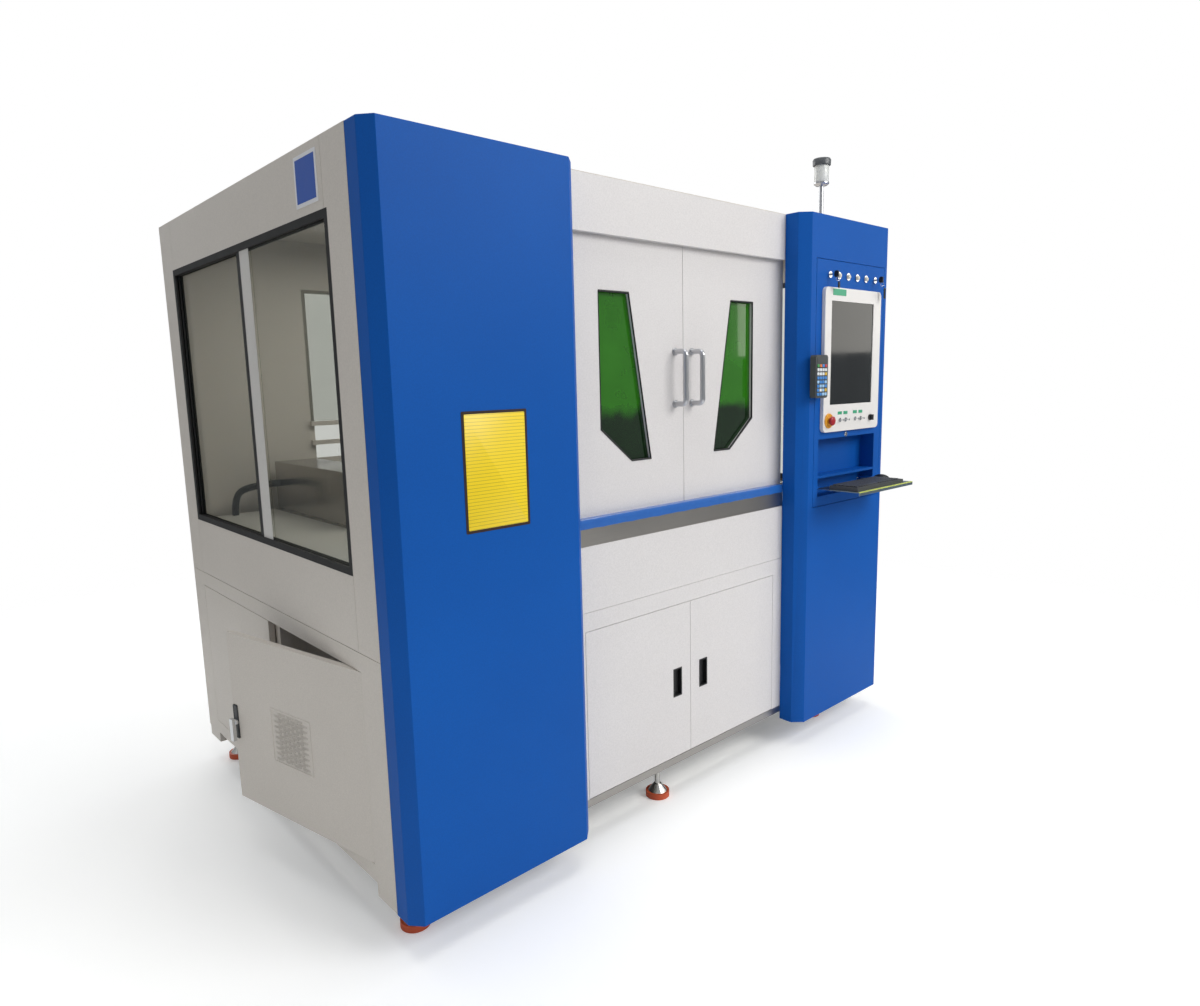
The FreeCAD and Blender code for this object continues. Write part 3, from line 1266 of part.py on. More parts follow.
def stop_button():
    """Red mushroom head of the emergency stop."""
    rim = "0 - column_out - bezel_d"
    things = [rod("stop_stem", "stop_x", rim + " + 10", "row_z", "8", "28", FORWARD),
              rod("stop_disc", "stop_x", rim + " - 14", "row_z", "stop_r", "7", FORWARD),
              cone("stop_dome", "stop_x", rim + " - 21", "row_z", "stop_r", "stop_r - 6", "5", FORWARD)]
    node(join("stop_button", things), "stop_button")


def push_button(number):
    """Sprung cap of one push button."""
    face = "0 - column_out"
    label = "push_button_%d" % (number + 1)
    at = button_place(number)
    things = [rod(label + "_stem", at, face + " + 7", "switch_z", "switch_r - 2.4", "16.5", FORWARD)]
    node(join(label, things + [rod(label + "_face", at, face + " - 9", "switch_z",
                                   "switch_r - 2.4", "0.5", FORWARD)]), label)


def switch_key(side, at):
    """Key in its switch: a round plug, a blade and a flat bow."""
    label = "switch_key_" + side
    face = "0 - column_out"
    things = [rod(label + "_plug", at, face + " + 10", "switch_z", "5", "16", FORWARD),
              box(label + "_blade", "%s - 1.2" % at, face + " - 22", "switch_z - 4", "2.4", "17", "8"),
              rod(label + "_bow", "%s - 1.2" % at, face + " - 30", "switch_z", "11", "2.4", X_AXIS)]
    node(join(label, things), label)


def selector_knob():
    """Round selector knob with a grip bar."""
    rim = "0 - column_out - bezel_d"
    things = [rod("knob_shaft", "knob_x", rim + " + 12", "row_z", "6", "14", FORWARD),
              rod("knob_skirt", "knob_x", rim + " - 0.4", "row_z", "knob_r", "6", FORWARD),
              box("knob_bar", "knob_x - 4", rim + " - 18", "row_z - 12", "8", "12", "24")]
    node(join("selector_knob", things), "selector_knob")


def toggle_switches():
    """Four toggle switches with their nuts and levers."""
    rim = "0 - column_out - bezel_d"
    solids = []
    for number in range(4):
        at = toggle_place(number)
        things = [rod("toggle_body_%d" % number, at, rim + " + 12", "row_z", "6", "16", FORWARD),
                  rod("toggle_nut_%d" % number, at, rim, "row_z", "9", "3", FORWARD),
                  cone("toggle_lever_%d" % number, at, rim + " - 3", "row_z", "2.6", "3.8", "17",
                       FORWARD)]
        solids.append(join("toggle_%d" % number, things))
    node(group("toggle_switches", solids), "toggle_switches")


def hand_pendant():
    """Wireless hand pendant held on the column by its magnet pad."""
    face = "0 - column_out"
    back = "0 - column_out - magnet_d"
    case = rounded_plate("pendant_case", "hand_x", "hand_z", "hand_w", "hand_high", "12",
                         back + " - hand_d", "hand_d")
    magnet = rod("pendant_magnet", "hand_x + hand_w / 2 - 4", face, "hand_z + hand_high / 2",
                 "magnet_r", "magnet_d", FORWARD)
    things = [case, magnet]
    for row in range(8):
        for column in range(4):
            things.append(box("pendant_key_%d_%d" % (row, column),
                              "hand_x + 9 + %d * 18.2" % column, back + " - hand_d - 2",
                              "hand_z + 10 + %d * 16" % row, "14.5", "3", "11"))
    things.append(box("pendant_display", "hand_x + 10", back + " - hand_d - 1.2",
                      "hand_z + 140", "hand_w - 20", "2", "18"))
    node(join("hand_pendant", things), "hand_pendant")


def signal_lamp():
    """Signal lamp on a slim pole: foot, pole, milky body and cap."""
    top = "high + lamp_high"
    things = [rod("lamp_foot", "lamp_x", "lamp_y", "high", "32", "12"),
              rod("lamp_pole", "lamp_x", "lamp_y", "high", "11", "lamp_high - 100"),
              rod("lamp_neck", "lamp_x", "lamp_y", top + " - 112", "lamp_r + 4", "14"),
              rod("lamp_body", "lamp_x", "lamp_y", top + " - 100", "lamp_r", "80"),
              rod("lamp_cap", "lamp_x", "lamp_y", top + " - 28", "lamp_r + 8", "22"),
              cone("lamp_crown", "lamp_x", "lamp_y", top + " - 6", "lamp_r + 8", "lamp_r + 2", "6")]
    node(join("signal_lamp", things), "signal_lamp")


def build_all():
    base_frame()
    work_deck()
    slat_frame()
    support_slats()
    scrap_bin()
    for side in ("left", "right"):
        column_shell(side)
    header_panel()
    sill_strip()
    front_apron()
    lower_front_frame()
    threshold_strip()
    for side in ("left", "right"):
        lower_door(side)
        lower_pull(side)
        upper_door(side)
        door_window(side)
        door_handle(side)
        end_frame(side)
    door_track()
    rear_panel()
    end_window_frame()
    end_pane_front()
    fixed_panes()
    roof_panel()
    foot_pads()
    foot_studs()
    side_door("side_door_front", True)
    side_door("side_door_back", False)
    side_latch("side_latch_front", True)
    side_latch("side_latch_back", False)
    rail_covers()
    gantry_ways()
    gantry_beam()
    cross_carriage()
    cutting_head()
    cable_hose()
    control_panel()
    screen_bezel()
    screen()
    keyboard_tray()
    keyboard()
    mouse()
    control_collars()
    stop_button()
    for number in range(4):
        push_button(number)
    switch_key("left", "lock_left")
    switch_key("right", "lock_right")
    selector_knob()
    toggle_switches()
    hand_pendant()
    signal_lamp()


def check_all():
    """Stop before writing if any object failed or any node is empty."""
    sheet.clear("D1")
    doc.recompute()
    for thing in doc.Objects:
        if "Invalid" in thing.State or "Error" in thing.State:
            raise RuntimeError("%s did not recompute: %s" % (thing.Name, thing.State))
    for thing in NODES:
        if thing.Shape.isNull() or not thing.Shape.isValid() or not thing.Shape.Solids:
            raise RuntimeError("%s has no valid shape" % thing.Label)


build_all()
check_all()
os.makedirs("parts", exist_ok=True)
for piece in NODES:
    piece.Shape.exportStep("parts/%s.step" % piece.Label)
print(len(NODES), "nodes written")
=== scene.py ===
import json
import math

import bmesh
import bpy
import numpy as np
from mathutils import Matrix, Vector


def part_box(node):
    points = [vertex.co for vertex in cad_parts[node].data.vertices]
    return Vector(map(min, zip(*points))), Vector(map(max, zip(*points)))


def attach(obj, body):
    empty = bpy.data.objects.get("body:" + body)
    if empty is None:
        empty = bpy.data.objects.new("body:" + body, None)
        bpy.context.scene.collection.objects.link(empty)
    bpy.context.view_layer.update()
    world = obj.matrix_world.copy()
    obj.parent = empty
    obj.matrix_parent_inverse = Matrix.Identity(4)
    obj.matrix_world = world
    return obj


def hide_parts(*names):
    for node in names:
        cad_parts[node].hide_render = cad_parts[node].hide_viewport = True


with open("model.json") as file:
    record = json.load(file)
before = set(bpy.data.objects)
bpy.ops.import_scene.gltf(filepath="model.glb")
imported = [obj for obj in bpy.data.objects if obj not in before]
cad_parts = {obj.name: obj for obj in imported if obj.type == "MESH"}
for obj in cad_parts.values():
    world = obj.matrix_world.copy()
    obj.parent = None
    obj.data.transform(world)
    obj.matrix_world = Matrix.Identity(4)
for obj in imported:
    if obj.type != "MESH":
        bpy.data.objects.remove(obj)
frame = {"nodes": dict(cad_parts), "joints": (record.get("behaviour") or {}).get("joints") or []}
for spare in ("Cube", "Light", "Camera"):
    if spare in bpy.data.objects:
        bpy.data.objects.remove(bpy.data.objects[spare])
scene = bpy.context.scene
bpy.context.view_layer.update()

# ---------------------------------------------------------------- viewpoint
# A wide lens at standing eye height, off the machine's front left corner.
# It looks along the front towards the control column and a little downwards.
FOCAL_MM, TURN_DEG, DIP_DEG, LEAN_DEG = 23.688, 42.391, 8.854, -1.315
EYE = (-1.0083, -1.9571, 1.5795)
lens = bpy.data.cameras.new("viewpoint")
lens.sensor_width = 36
lens.lens = FOCAL_MM
lens.clip_end = 80
turn, dip, lean = (math.radians(angle) for angle in (TURN_DEG, DIP_DEG, LEAN_DEG))
ahead = Vector((math.sin(turn) * math.cos(dip), math.cos(turn) * math.cos(dip), -math.sin(dip)))
level = Vector((math.cos(turn), -math.sin(turn), 0))
upward = level.cross(ahead)
right = level * math.cos(lean) + upward * math.sin(lean)
top = upward * math.cos(lean) - level * math.sin(lean)
viewpoint = bpy.data.objects.new("viewpoint", lens)
viewpoint.matrix_world = (Matrix.Translation(EYE)
                          @ Matrix((right, top, -ahead)).transposed().to_4x4())
scene.collection.objects.link(viewpoint)
scene.camera = viewpoint


# ---------------------------------------------------------------- cable hose
# Black polyamide conduit, 30 mm outside, ribbed every 5 mm so that it bends freely.
# It stands in a deck gland and bends over into the left rail cover.
def linear(code):
    """sRGB hex to the linear colour that shaders work in."""
    parts = [int(code[k:k + 2], 16) / 255 for k in (1, 3, 5)]
    return [p / 12.92 if p <= 0.04045 else ((p + 0.055) / 1.055) ** 2.4 for p in parts] + [1.0]


def add(tree, kind, settings=None, links=None):
    """Add one node, set its own settings and sockets, and link the sockets that are fed."""
    made = tree.nodes.new(kind)
    for name, value in (settings or {}).items():
        if isinstance(name, int) or name in made.inputs:
            made.inputs[name].default_value = value
        else:
            setattr(made, name, value)
    for name, source in (links or {}).items():
        tree.links.new(source, made.inputs[name])
    return made


def start_material(name, settings):
    """New material whose main shader has these settings; returns it, its tree, shader and place."""
    made = bpy.data.materials.new(name)
    made.use_nodes = True
    tree = made.node_tree
    shader = tree.nodes["Principled BSDF"]
    for key, value in settings.items():
        shader.inputs[key].default_value = value
    return made, tree, shader, add(tree, "ShaderNodeTexCoord").outputs["Object"]


def feed(tree, shader, sockets):
    """Link these node outputs to the shader's sockets of the same names."""
    for name, source in sockets.items():
        tree.links.new(source, shader.inputs[name])


def moulded_plastic(name, colour, worn, rough, grain=0.0012, lift=0.0002):
    """Moulded ABS or polyamide: even colour, a fine spark-eroded skin and soft highlights.
    One noise as fine as the skin lifts the surface; a broad one drifts colour and gloss."""
    made, tree, shader, place = start_material(name, {"Specular IOR Level": 0.5})
    broad = add(tree, "ShaderNodeTexNoise", {"Scale": 14.0, "Detail": 3.0}, {"Vector": place})
    skin = add(tree, "ShaderNodeTexNoise", {"Scale": 1 / grain, "Detail": 2.0}, {"Vector": place})
    tone = add(tree, "ShaderNodeMix", {"data_type": "RGBA", 6: linear(colour), 7: linear(worn)},
               {0: broad.outputs[0]})
    gloss = add(tree, "ShaderNodeMapRange", {"To Min": rough - 0.06, "To Max": rough + 0.06},
                {"Value": broad.outputs[0]})
    bump = add(tree, "ShaderNodeBump", {"Strength": 0.5, "Distance": lift},
               {"Height": skin.outputs[0]})
    feed(tree, shader, {"Base Color": tone.outputs[2], "Roughness": gloss.outputs[0],
                        "Normal": bump.outputs[0]})
    return made


def grid_faces(rows, columns, around=True):
    """Faces of a grid of points; `around` joins the last column to the first."""
    i, j = np.meshgrid(np.arange(rows - 1), np.arange(columns if around else columns - 1),
                       indexing="ij")
    k = (j + 1) % columns
    return np.stack([i * columns + j, i * columns + k, (i + 1) * columns + k,
                     (i + 1) * columns + j], -1).reshape(-1, 4)


def piece(name, points, faces, body, material, smooth=True, ends=()):
    """One mesh piece from an array of points and its faces, on a body, in a finish.
    `ends` are rings that close it; doubled points are merged and faces turned outwards."""
    mesh = bpy.data.meshes.new(name)
    mesh.from_pydata(np.asarray(points, float).reshape(-1, 3).tolist(), [],
                     [list(map(int, f)) for f in faces] + [list(map(int, f)) for f in ends])
    work = bmesh.new()
    work.from_mesh(mesh)
    bmesh.ops.remove_doubles(work, verts=work.verts, dist=2e-6)
    bmesh.ops.dissolve_degenerate(work, edges=work.edges, dist=1e-7)
    bmesh.ops.recalc_face_normals(work, faces=work.faces)
    for face in work.faces:
        face.smooth = smooth
    for edge in work.edges:
        if len(edge.link_faces) == 2 and edge.calc_face_angle() > math.radians(38):
            edge.smooth = False
    work.to_mesh(mesh)
    work.free()
    mesh.materials.append(material)
    made = bpy.data.objects.new(name, mesh)
    scene.collection.objects.link(made)
    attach(made, body)
    return made


def ribbed_tube(path, side, radius, rib, pitch, sides=24):
    """Ribbed tube: point(s, a) = path(s) + r(s) (cos a side + sin a (side x tangent)),
    with r(s) = radius - rib / 2 + rib / 2 cos(2 pi s / pitch)."""
    steps = np.r_[0, np.cumsum(np.linalg.norm(np.diff(path, axis=0), axis=1))]
    s = np.linspace(0, steps[-1], int(steps[-1] / pitch * 6) + 1)
    line = np.stack([np.interp(s, steps, path[:, k]) for k in range(3)], -1)
    tangent = np.gradient(line, axis=0)
    tangent /= np.linalg.norm(tangent, axis=1, keepdims=True)
    other = np.cross(side, tangent)
    r = radius - rib / 2 + rib / 2 * np.cos(2 * np.pi * s / pitch)
    a = np.linspace(0, 2 * np.pi, sides, endpoint=False)
    ring = np.cos(a)[None, :, None] * np.asarray(side) + np.sin(a)[None, :, None] * other[:, None]
    return line[:, None] + r[:, None, None] * ring, steps[-1]


HOSE_R, RIB, RIB_PITCH = 0.015, 0.0028, 0.005
hose_route = [(0.070, 1.495, 1.053), (0.070, 1.495, 1.126), (0.124, 1.495, 1.170),
              (0.262, 1.495, 1.170)]
hose_curve = bpy.data.curves.new("hose_route", "CURVE")
hose_curve.dimensions = "3D"
hose_curve.resolution_u = 24
hose_spline = hose_curve.splines.new("NURBS")
hose_spline.points.add(len(hose_route) - 1)
for spot, xyz in zip(hose_spline.points, hose_route):
    spot.co = (*xyz, 1)
hose_spline.order_u = 3
hose_spline.use_endpoint_u = True
hose_holder = bpy.data.objects.new("hose_route", hose_curve)
scene.collection.objects.link(hose_holder)
hose_line = bpy.data.meshes.new_from_object(hose_holder)
hose_path = np.array([v.co for v in hose_line.vertices])
bpy.data.objects.remove(hose_holder)

black_conduit = moulded_plastic("black polyamide conduit", "#17181a", "#22242a", 0.42)
hose_grid, hose_long = ribbed_tube(hose_path, (0, 1, 0), HOSE_R, RIB, RIB_PITCH)
rows, columns = hose_grid.shape[:2]
hose = piece("cable_hose_ribbed", hose_grid, grid_faces(rows, columns), "machine",
             black_conduit, ends=[range(columns), range((rows - 1) * columns, rows * columns)])
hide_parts("cable_hose")

# ---------------------------------------------------------------- room
# Pale floor and even pale surroundings. Soft lights: a large one high in front, a wide one
# overhead, a weak one on the left so that the end wall stays in shade, one behind, a strip
# in the chamber, and a card at the right that the display mirrors.
floor_mesh = bpy.data.meshes.new("workshop_floor")
REACH, SUNK = 30, -0.001            # half the floor's side; it lies just under the feet
floor_mesh.from_pydata([(-REACH, -REACH, SUNK), (REACH, -REACH, SUNK), (REACH, REACH, SUNK),
                        (-REACH, REACH, SUNK)], [], [(0, 1, 2, 3)])
floor = bpy.data.objects.new("workshop_floor", floor_mesh)
scene.collection.objects.link(floor)
sealed, tree, shader, place = start_material("sealed pale floor", {
    "Roughness": 0.75, "Specular IOR Level": 0.15, "Emission Color": linear("#f8f8f8")})
# It is lifted towards white where it is seen directly, and sends no extra light to the machine.
direct = add(tree, "ShaderNodeLightPath").outputs["Is Camera Ray"]
lift = add(tree, "ShaderNodeMath", {"operation": "MULTIPLY", 1: 0.22}, {0: direct})
feed(tree, shader, {"Emission Strength": lift.outputs[0]})
cloud = add(tree, "ShaderNodeTexNoise", {"Scale": 1.3, "Detail": 4.0}, {"Vector": place})
tone = add(tree, "ShaderNodeMix", {"data_type": "RGBA", 6: linear("#f4f4f3"),
                                   7: linear("#fbfbfa")}, {0: cloud.outputs[0]})
feed(tree, shader, {"Base Color": tone.outputs[2]})
# The floor fades into the surroundings between 2.6 and 5.5 m from the origin.
away = add(tree, "ShaderNodeVectorMath", {"operation": "LENGTH"}, {0: place})
fade = add(tree, "ShaderNodeMapRange",
           {"From Min": 2.6, "From Max": 5.5, "interpolation_type": "SMOOTHSTEP"},
           {"Value": away.outputs["Value"]})
haze = add(tree, "ShaderNodeBsdfTransparent")
mist = add(tree, "ShaderNodeMixShader", links={0: fade.outputs[0], 1: shader.outputs[0],
                                               2: haze.outputs[0]})
tree.links.new(mist.outputs[0], tree.nodes["Material Output"].inputs["Surface"])
floor_mesh.materials.append(sealed)

world = bpy.data.worlds.new("pale surroundings")
world.use_nodes = True
scene.world = world
tree = world.node_tree
tree.nodes.clear()
heading = add(tree, "ShaderNodeTexCoord").outputs["Generated"]
height = add(tree, "ShaderNodeSeparateXYZ", links={0: heading}).outputs["Z"]
ramp = add(tree, "ShaderNodeMapRange", {"From Min": -0.1, "From Max": 0.6, "To Min": 0.28,
                                        "To Max": 0.54}, {"Value": height})
room_light = add(tree, "ShaderNodeBackground", {"Color": linear("#f2f5f8")},
                 {"Strength": ramp.outputs[0]})
backdrop = add(tree, "ShaderNodeBackground", {"Color": (1, 1, 1, 1), "Strength": 1.0})
seen = add(tree, "ShaderNodeLightPath").outputs["Is Camera Ray"]
both = add(tree, "ShaderNodeMixShader", links={0: seen, 1: room_light.outputs[0],
                                               2: backdrop.outputs[0]})
add(tree, "ShaderNodeOutputWorld", links={0: both.outputs[0]})
scene.view_settings.view_transform = "Standard"


def soft_light(name, spot, aim, wide, tall, power, tint):
    """Rectangular studio light at `spot`, turned to `aim`."""
    lamp = bpy.data.lights.new(name, "AREA")
    lamp.shape = "RECTANGLE"
    lamp.size, lamp.size_y, lamp.energy = wide, tall, power
    lamp.color = linear(tint)[:3]
    made = bpy.data.objects.new(name, lamp)
    way = Vector(aim) - Vector(spot)
    made.matrix_world = Matrix.Translation(spot) @ way.to_track_quat("-Z", "Y").to_matrix().to_4x4()
    made.visible_camera = False
    scene.collection.objects.link(made)


soft_light("front light", (3.6, -5.2, 4.6), (1.1, 0.4, 1.1), 4.0, 3.0, 252, "#fffefc")
soft_light("overhead light", (1.2, 0.6, 6.0), (1.2, 0.7, 1.0), 5.0, 5.0, 150, "#ffffff")
soft_light("left fill", (-5.2, 0.6, 3.4), (0.0, 0.7, 1.1), 3.0, 3.0, 8, "#f6f8ff")
soft_light("rear light", (1.4, 6.2, 3.6), (1.2, 1.0, 1.2), 4.0, 2.5, 90, "#ffffff")
soft_light("chamber strip", (1.15, 0.75, 2.16), (1.15, 0.75, 1.0), 1.9, 0.6, 17, "#fffdf8")
soft_light("screen card", (5.8, -2.35, 2.25), (2.1, -0.07, 1.6), 1.6, 0.95, 9, "#fffaf0")


# ---------------------------------------------------------------- levelling feet
# Six steel studs with cones on round polyurethane pads, screwed up under the bed.
# The pads are cast orange; the studs are bright zinc plated.
def coat(material, *names):
    """Put a material into every slot of these CAD nodes."""
    for name in names:
        for place_in in frame["nodes"][name].material_slots:
            place_in.material = material


def plated_steel(name, colour, rough, scratch=0.0006):
    """Nickel, chrome or zinc on turned steel: mirror-like with a hazy broken gloss."""
    made, tree, shader, place = start_material(name, {"Metallic": 1.0,
                                                      "Base Color": linear(colour)})
    haze = add(tree, "ShaderNodeTexNoise", {"Scale": 60.0, "Detail": 4.0}, {"Vector": place})
    gloss = add(tree, "ShaderNodeMapRange", {"To Min": rough * 0.6, "To Max": rough * 1.5},
                {"Value": haze.outputs[0]})
    fine = add(tree, "ShaderNodeTexNoise", {"Scale": 1 / scratch, "Detail": 2.0}, {"Vector": place})
    bump = add(tree, "ShaderNodeBump", {"Strength": 0.15, "Distance": 0.0001},
               {"Height": fine.outputs[0]})
    feed(tree, shader, {"Roughness": gloss.outputs[0], "Normal": bump.outputs[0]})
    return made


cast_orange = moulded_plastic("cast orange polyurethane", "#cf5a32", "#b94a27", 0.5)
bright_zinc = plated_steel("bright zinc on steel", "#c9c8c4", 0.22)
coat(cast_orange, "foot_pads")
coat(bright_zinc, "foot_studs")


# ---------------------------------------------------------------- bed and deck
# Welded square tube bed in grey primer, white deck sheet, laser-cut mild steel slats
# with toothed edges and a grey scrap bin that slides in under them.
def powder_coat(name, colour, deep, rough, grain=0.004, sheen=0.5):
    """Polyester powder baked on steel sheet: even colour over a fine dimpled skin.
    A broad noise drifts the colour; a fine one, drawn 4 mm across where the real skin
    is 1.5 mm so that it shows, lifts the surface and breaks up the highlight."""
    made, tree, shader, place = start_material(name, {"Specular IOR Level": sheen})
    broad = add(tree, "ShaderNodeTexNoise", {"Scale": 1.7, "Detail": 3.0}, {"Vector": place})
    skin = add(tree, "ShaderNodeTexNoise", {"Scale": 1 / grain, "Detail": 3.0, "Roughness": 0.6},
               {"Vector": place})
    tone = add(tree, "ShaderNodeMix", {"data_type": "RGBA", 6: linear(colour), 7: linear(deep)},
               {0: broad.outputs[0]})
    speckle = add(tree, "ShaderNodeMapRange", {"From Min": 0.3, "From Max": 0.7, "To Min": 0.93,
                                               "To Max": 1.05}, {"Value": skin.outputs[0]})
    shade = add(tree, "ShaderNodeVectorMath", {"operation": "SCALE"}, {0: tone.outputs[2],
                                                                      "Scale": speckle.outputs[0]})
    gloss = add(tree, "ShaderNodeMapRange", {"To Min": rough - 0.07, "To Max": rough + 0.07},
                {"Value": skin.outputs[0]})
    bump = add(tree, "ShaderNodeBump", {"Strength": 0.35, "Distance": 0.0004},
               {"Height": skin.outputs[0]})
    feed(tree, shader, {"Base Color": shade.outputs[0], "Roughness": gloss.outputs[0],
                        "Normal": bump.outputs[0]})
    return made


def brushed_steel(name, colour, rough, along, spacing=0.0015, streak=0.12):
    """Stainless or aluminium ground with a belt: parallel scratches along one axis.
    The noise is stretched 60 times along `along` and is `spacing` metres wide across it."""
    made, tree, shader, place = start_material(name, {"Metallic": 1.0})
    stretch = [1 / spacing] * 3
    stretch[along] = 1 / (60 * spacing)
    moved = add(tree, "ShaderNodeMapping", {"Scale": stretch}, {"Vector": place})
    lines = add(tree, "ShaderNodeTexNoise", {"Scale": 1.0, "Detail": 4.0, "Roughness": 0.7},
                {"Vector": moved.outputs[0]})
    broad = add(tree, "ShaderNodeTexNoise", {"Scale": 4.0, "Detail": 2.0}, {"Vector": place})
    darker = [c * (1 - streak) for c in linear(colour)[:3]] + [1]
    tone = add(tree, "ShaderNodeMix", {"data_type": "RGBA", 6: linear(colour), 7: darker},
               {0: lines.outputs[0]})
    gloss = add(tree, "ShaderNodeMapRange", {"To Min": rough - 0.08, "To Max": rough + 0.1},
                {"Value": broad.outputs[0]})
    bump = add(tree, "ShaderNodeBump", {"Strength": 0.25, "Distance": 0.0002},
               {"Height": lines.outputs[0]})
    feed(tree, shader, {"Base Color": tone.outputs[2], "Roughness": gloss.outputs[0],
                        "Normal": bump.outputs[0]})
    return made


bed_paint = powder_coat("grey bed paint", "#9fa19c", "#91938f", 0.45)
deck_white = powder_coat("white deck coat", "#d3d0ca", "#c6c3bd", 0.4)
bin_grey = powder_coat("grey bin coat", "#a5a49f", "#989792", 0.5)
cut_steel = brushed_steel("laser-cut mild steel", "#8d8d8b", 0.42, 2, 0.001, 0.4)
coat(bed_paint, "base_frame", "slat_frame", "gantry_ways")
coat(deck_white, "work_deck")
coat(bin_grey, "scrap_bin")
coat(cut_steel, "support_slats")


# ---------------------------------------------------------------- blue columns
# Two folded steel columns, full height, with bevelled corners, in textured blue powder.
# A yellow notice plate is stuck on the left one; a border is printed round a bare field.
def rounded_outline(wide, tall, radius, steps=6):
    """Rectangle with round corners: four quarter circles of `steps` + 1 points each."""
    a = np.linspace(0, np.pi / 2, steps + 1)
    turn_by = np.repeat(np.arange(4) * np.pi / 2, steps + 1)
    angle = np.tile(a, 4) + turn_by
    sx = np.repeat([1, -1, -1, 1], steps + 1) * (wide / 2 - radius)
    sz = np.repeat([1, 1, -1, -1], steps + 1) * (tall / 2 - radius)
    return np.stack([sx + radius * np.cos(angle), sz + radius * np.sin(angle)], -1)


def stepped_plate(name, middle, across, up, wide, tall, corner, profile, body, slot, material,
                  steps=6):
    """Plate built up in rings: ring k is the rounded outline drawn in by inset(k) and lifted by
    rise(k) along across x up, with both ends closed. `profile` lists (rise, inset)."""
    across, up = np.asarray(across, float), np.asarray(up, float)
    out = np.cross(across, up)
    rings = []
    for rise, inset in profile:
        flat = rounded_outline(wide - 2 * inset, tall - 2 * inset, max(corner - inset, 2e-4), steps)
        rings.append(np.asarray(middle) + flat[:, :1] * across + flat[:, 1:] * up + rise * out)
    grid = np.stack(rings)
    rows, columns = grid.shape[:2]
    return piece(name, grid, grid_faces(rows, columns), body, material,
                 ends=[range(columns), range((rows - 1) * columns, rows * columns)])


def soften(name, radius):
    """Round the folded edges of a CAD node: merge its corners, then a small bevel."""
    node = frame["nodes"][name]
    weld = node.modifiers.new("joined corners", "WELD")
    weld.merge_threshold = 1e-5
    edge = node.modifiers.new("folded edges", "BEVEL")
    edge.width = radius
    edge.segments = 2
    edge.limit_method = "ANGLE"
    edge.angle_limit = math.radians(35)
    edge.harden_normals = True


FORWARD = (0, -1, 0)
FACE = [(1, 0, 0), (0, 0, 1)]      # across and up of a plate on the front
END = [(0, -1, 0), (0, 0, 1)]      # across and up of a plate on the left end
blue_coat = powder_coat("textured blue powder", "#055ab3", "#044fa2", 0.52, 0.004, 0.16)
coat(blue_coat, "left_column_shell", "right_column_shell", "control_panel", "cross_carriage")
for folded in ("left_column_shell", "right_column_shell"):
    soften(folded, 0.003)
left_low, left_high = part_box("left_column_shell")
ground = left_low.z

# Fine rules, 1.2 mm thick and 9.4 mm apart, stand for the print.
RULE_PITCH, RULE_T = 0.0094, 0.0012
printed, tree, shader, place = start_material("printed yellow plate", {"Roughness": 0.32})
step = add(tree, "ShaderNodeSeparateXYZ", links={0: place}).outputs["Z"]
rule = add(tree, "ShaderNodeMath", {"operation": "PINGPONG", 1: RULE_PITCH / 2}, {0: step})
fine_line = add(tree, "ShaderNodeMath", {"operation": "LESS_THAN", 1: RULE_T / 2},
                {0: rule.outputs[0]})
ink = add(tree, "ShaderNodeMix", {"data_type": "RGBA", 6: linear("#f3d41e"),
                                  7: linear("#b59d28")}, {0: fine_line.outputs[0]})
feed(tree, shader, {"Base Color": ink.outputs[2]})
dark_print = moulded_plastic("dark brown print", "#2a1a14", "#33211a", 0.35)
THIN_EDGE = [(0, 0), (0.0008, 0), (0.001, 0.0002)]
PLATE_W, PLATE_T, BORDER = 0.216, 0.330, 0.008
PLATE_X, PLATE_Z = 0.334, 1.232    # the plate's middle, from the column's foot and left side
plate_at = (left_low.x + PLATE_X, left_low.y, ground + PLATE_Z)
stepped_plate("notice_plate", plate_at, *FACE, PLATE_W, PLATE_T, 0.004,
              THIN_EDGE, "machine", "black_plastic", dark_print)
stepped_plate("notice_field", (plate_at[0], plate_at[1] - 0.0009, plate_at[2]), *FACE,
              PLATE_W - 2 * BORDER, PLATE_T - 2 * BORDER, 0.003,
              [(0, 0), (0.0004, 0), (0.0005, 0.0002)], "machine", "light_plastic", printed)

# ---------------------------------------------------------------- front panels
# White powder-coated header and apron between the columns, a brushed stainless sill with
# a blue film along its top edge, and a stainless threshold under the doors.
white_coat = powder_coat("white powder", "#e0dddc", "#d7d3d2", 0.4, 0.004, 0.35)
sill_steel = brushed_steel("brushed stainless", "#aeaaa5", 0.34, 0)
coat(white_coat, "header_panel", "front_apron", "lower_front_frame")
coat(sill_steel, "sill_strip", "threshold_strip")

film, tree, shader, place = start_material("blue protective film", {"Roughness": 0.28,
                                                                     "Coat Weight": 0.4})
wrinkle = add(tree, "ShaderNodeTexNoise", {"Scale": 30.0, "Detail": 3.0, "Distortion": 0.6},
              {"Vector": place})
tone = add(tree, "ShaderNodeMix", {"data_type": "RGBA", 6: linear("#1f5cac"),
                                   7: linear("#2b6abb")}, {0: wrinkle.outputs[0]})
bump = add(tree, "ShaderNodeBump", {"Strength": 0.4, "Distance": 0.001},
           {"Height": wrinkle.outputs[0]})
feed(tree, shader, {"Base Color": tone.outputs[2], "Normal": bump.outputs[0]})
sill_low, sill_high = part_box("sill_strip")
along = np.linspace(sill_low.x + 0.001, sill_high.x - 0.001, 120)
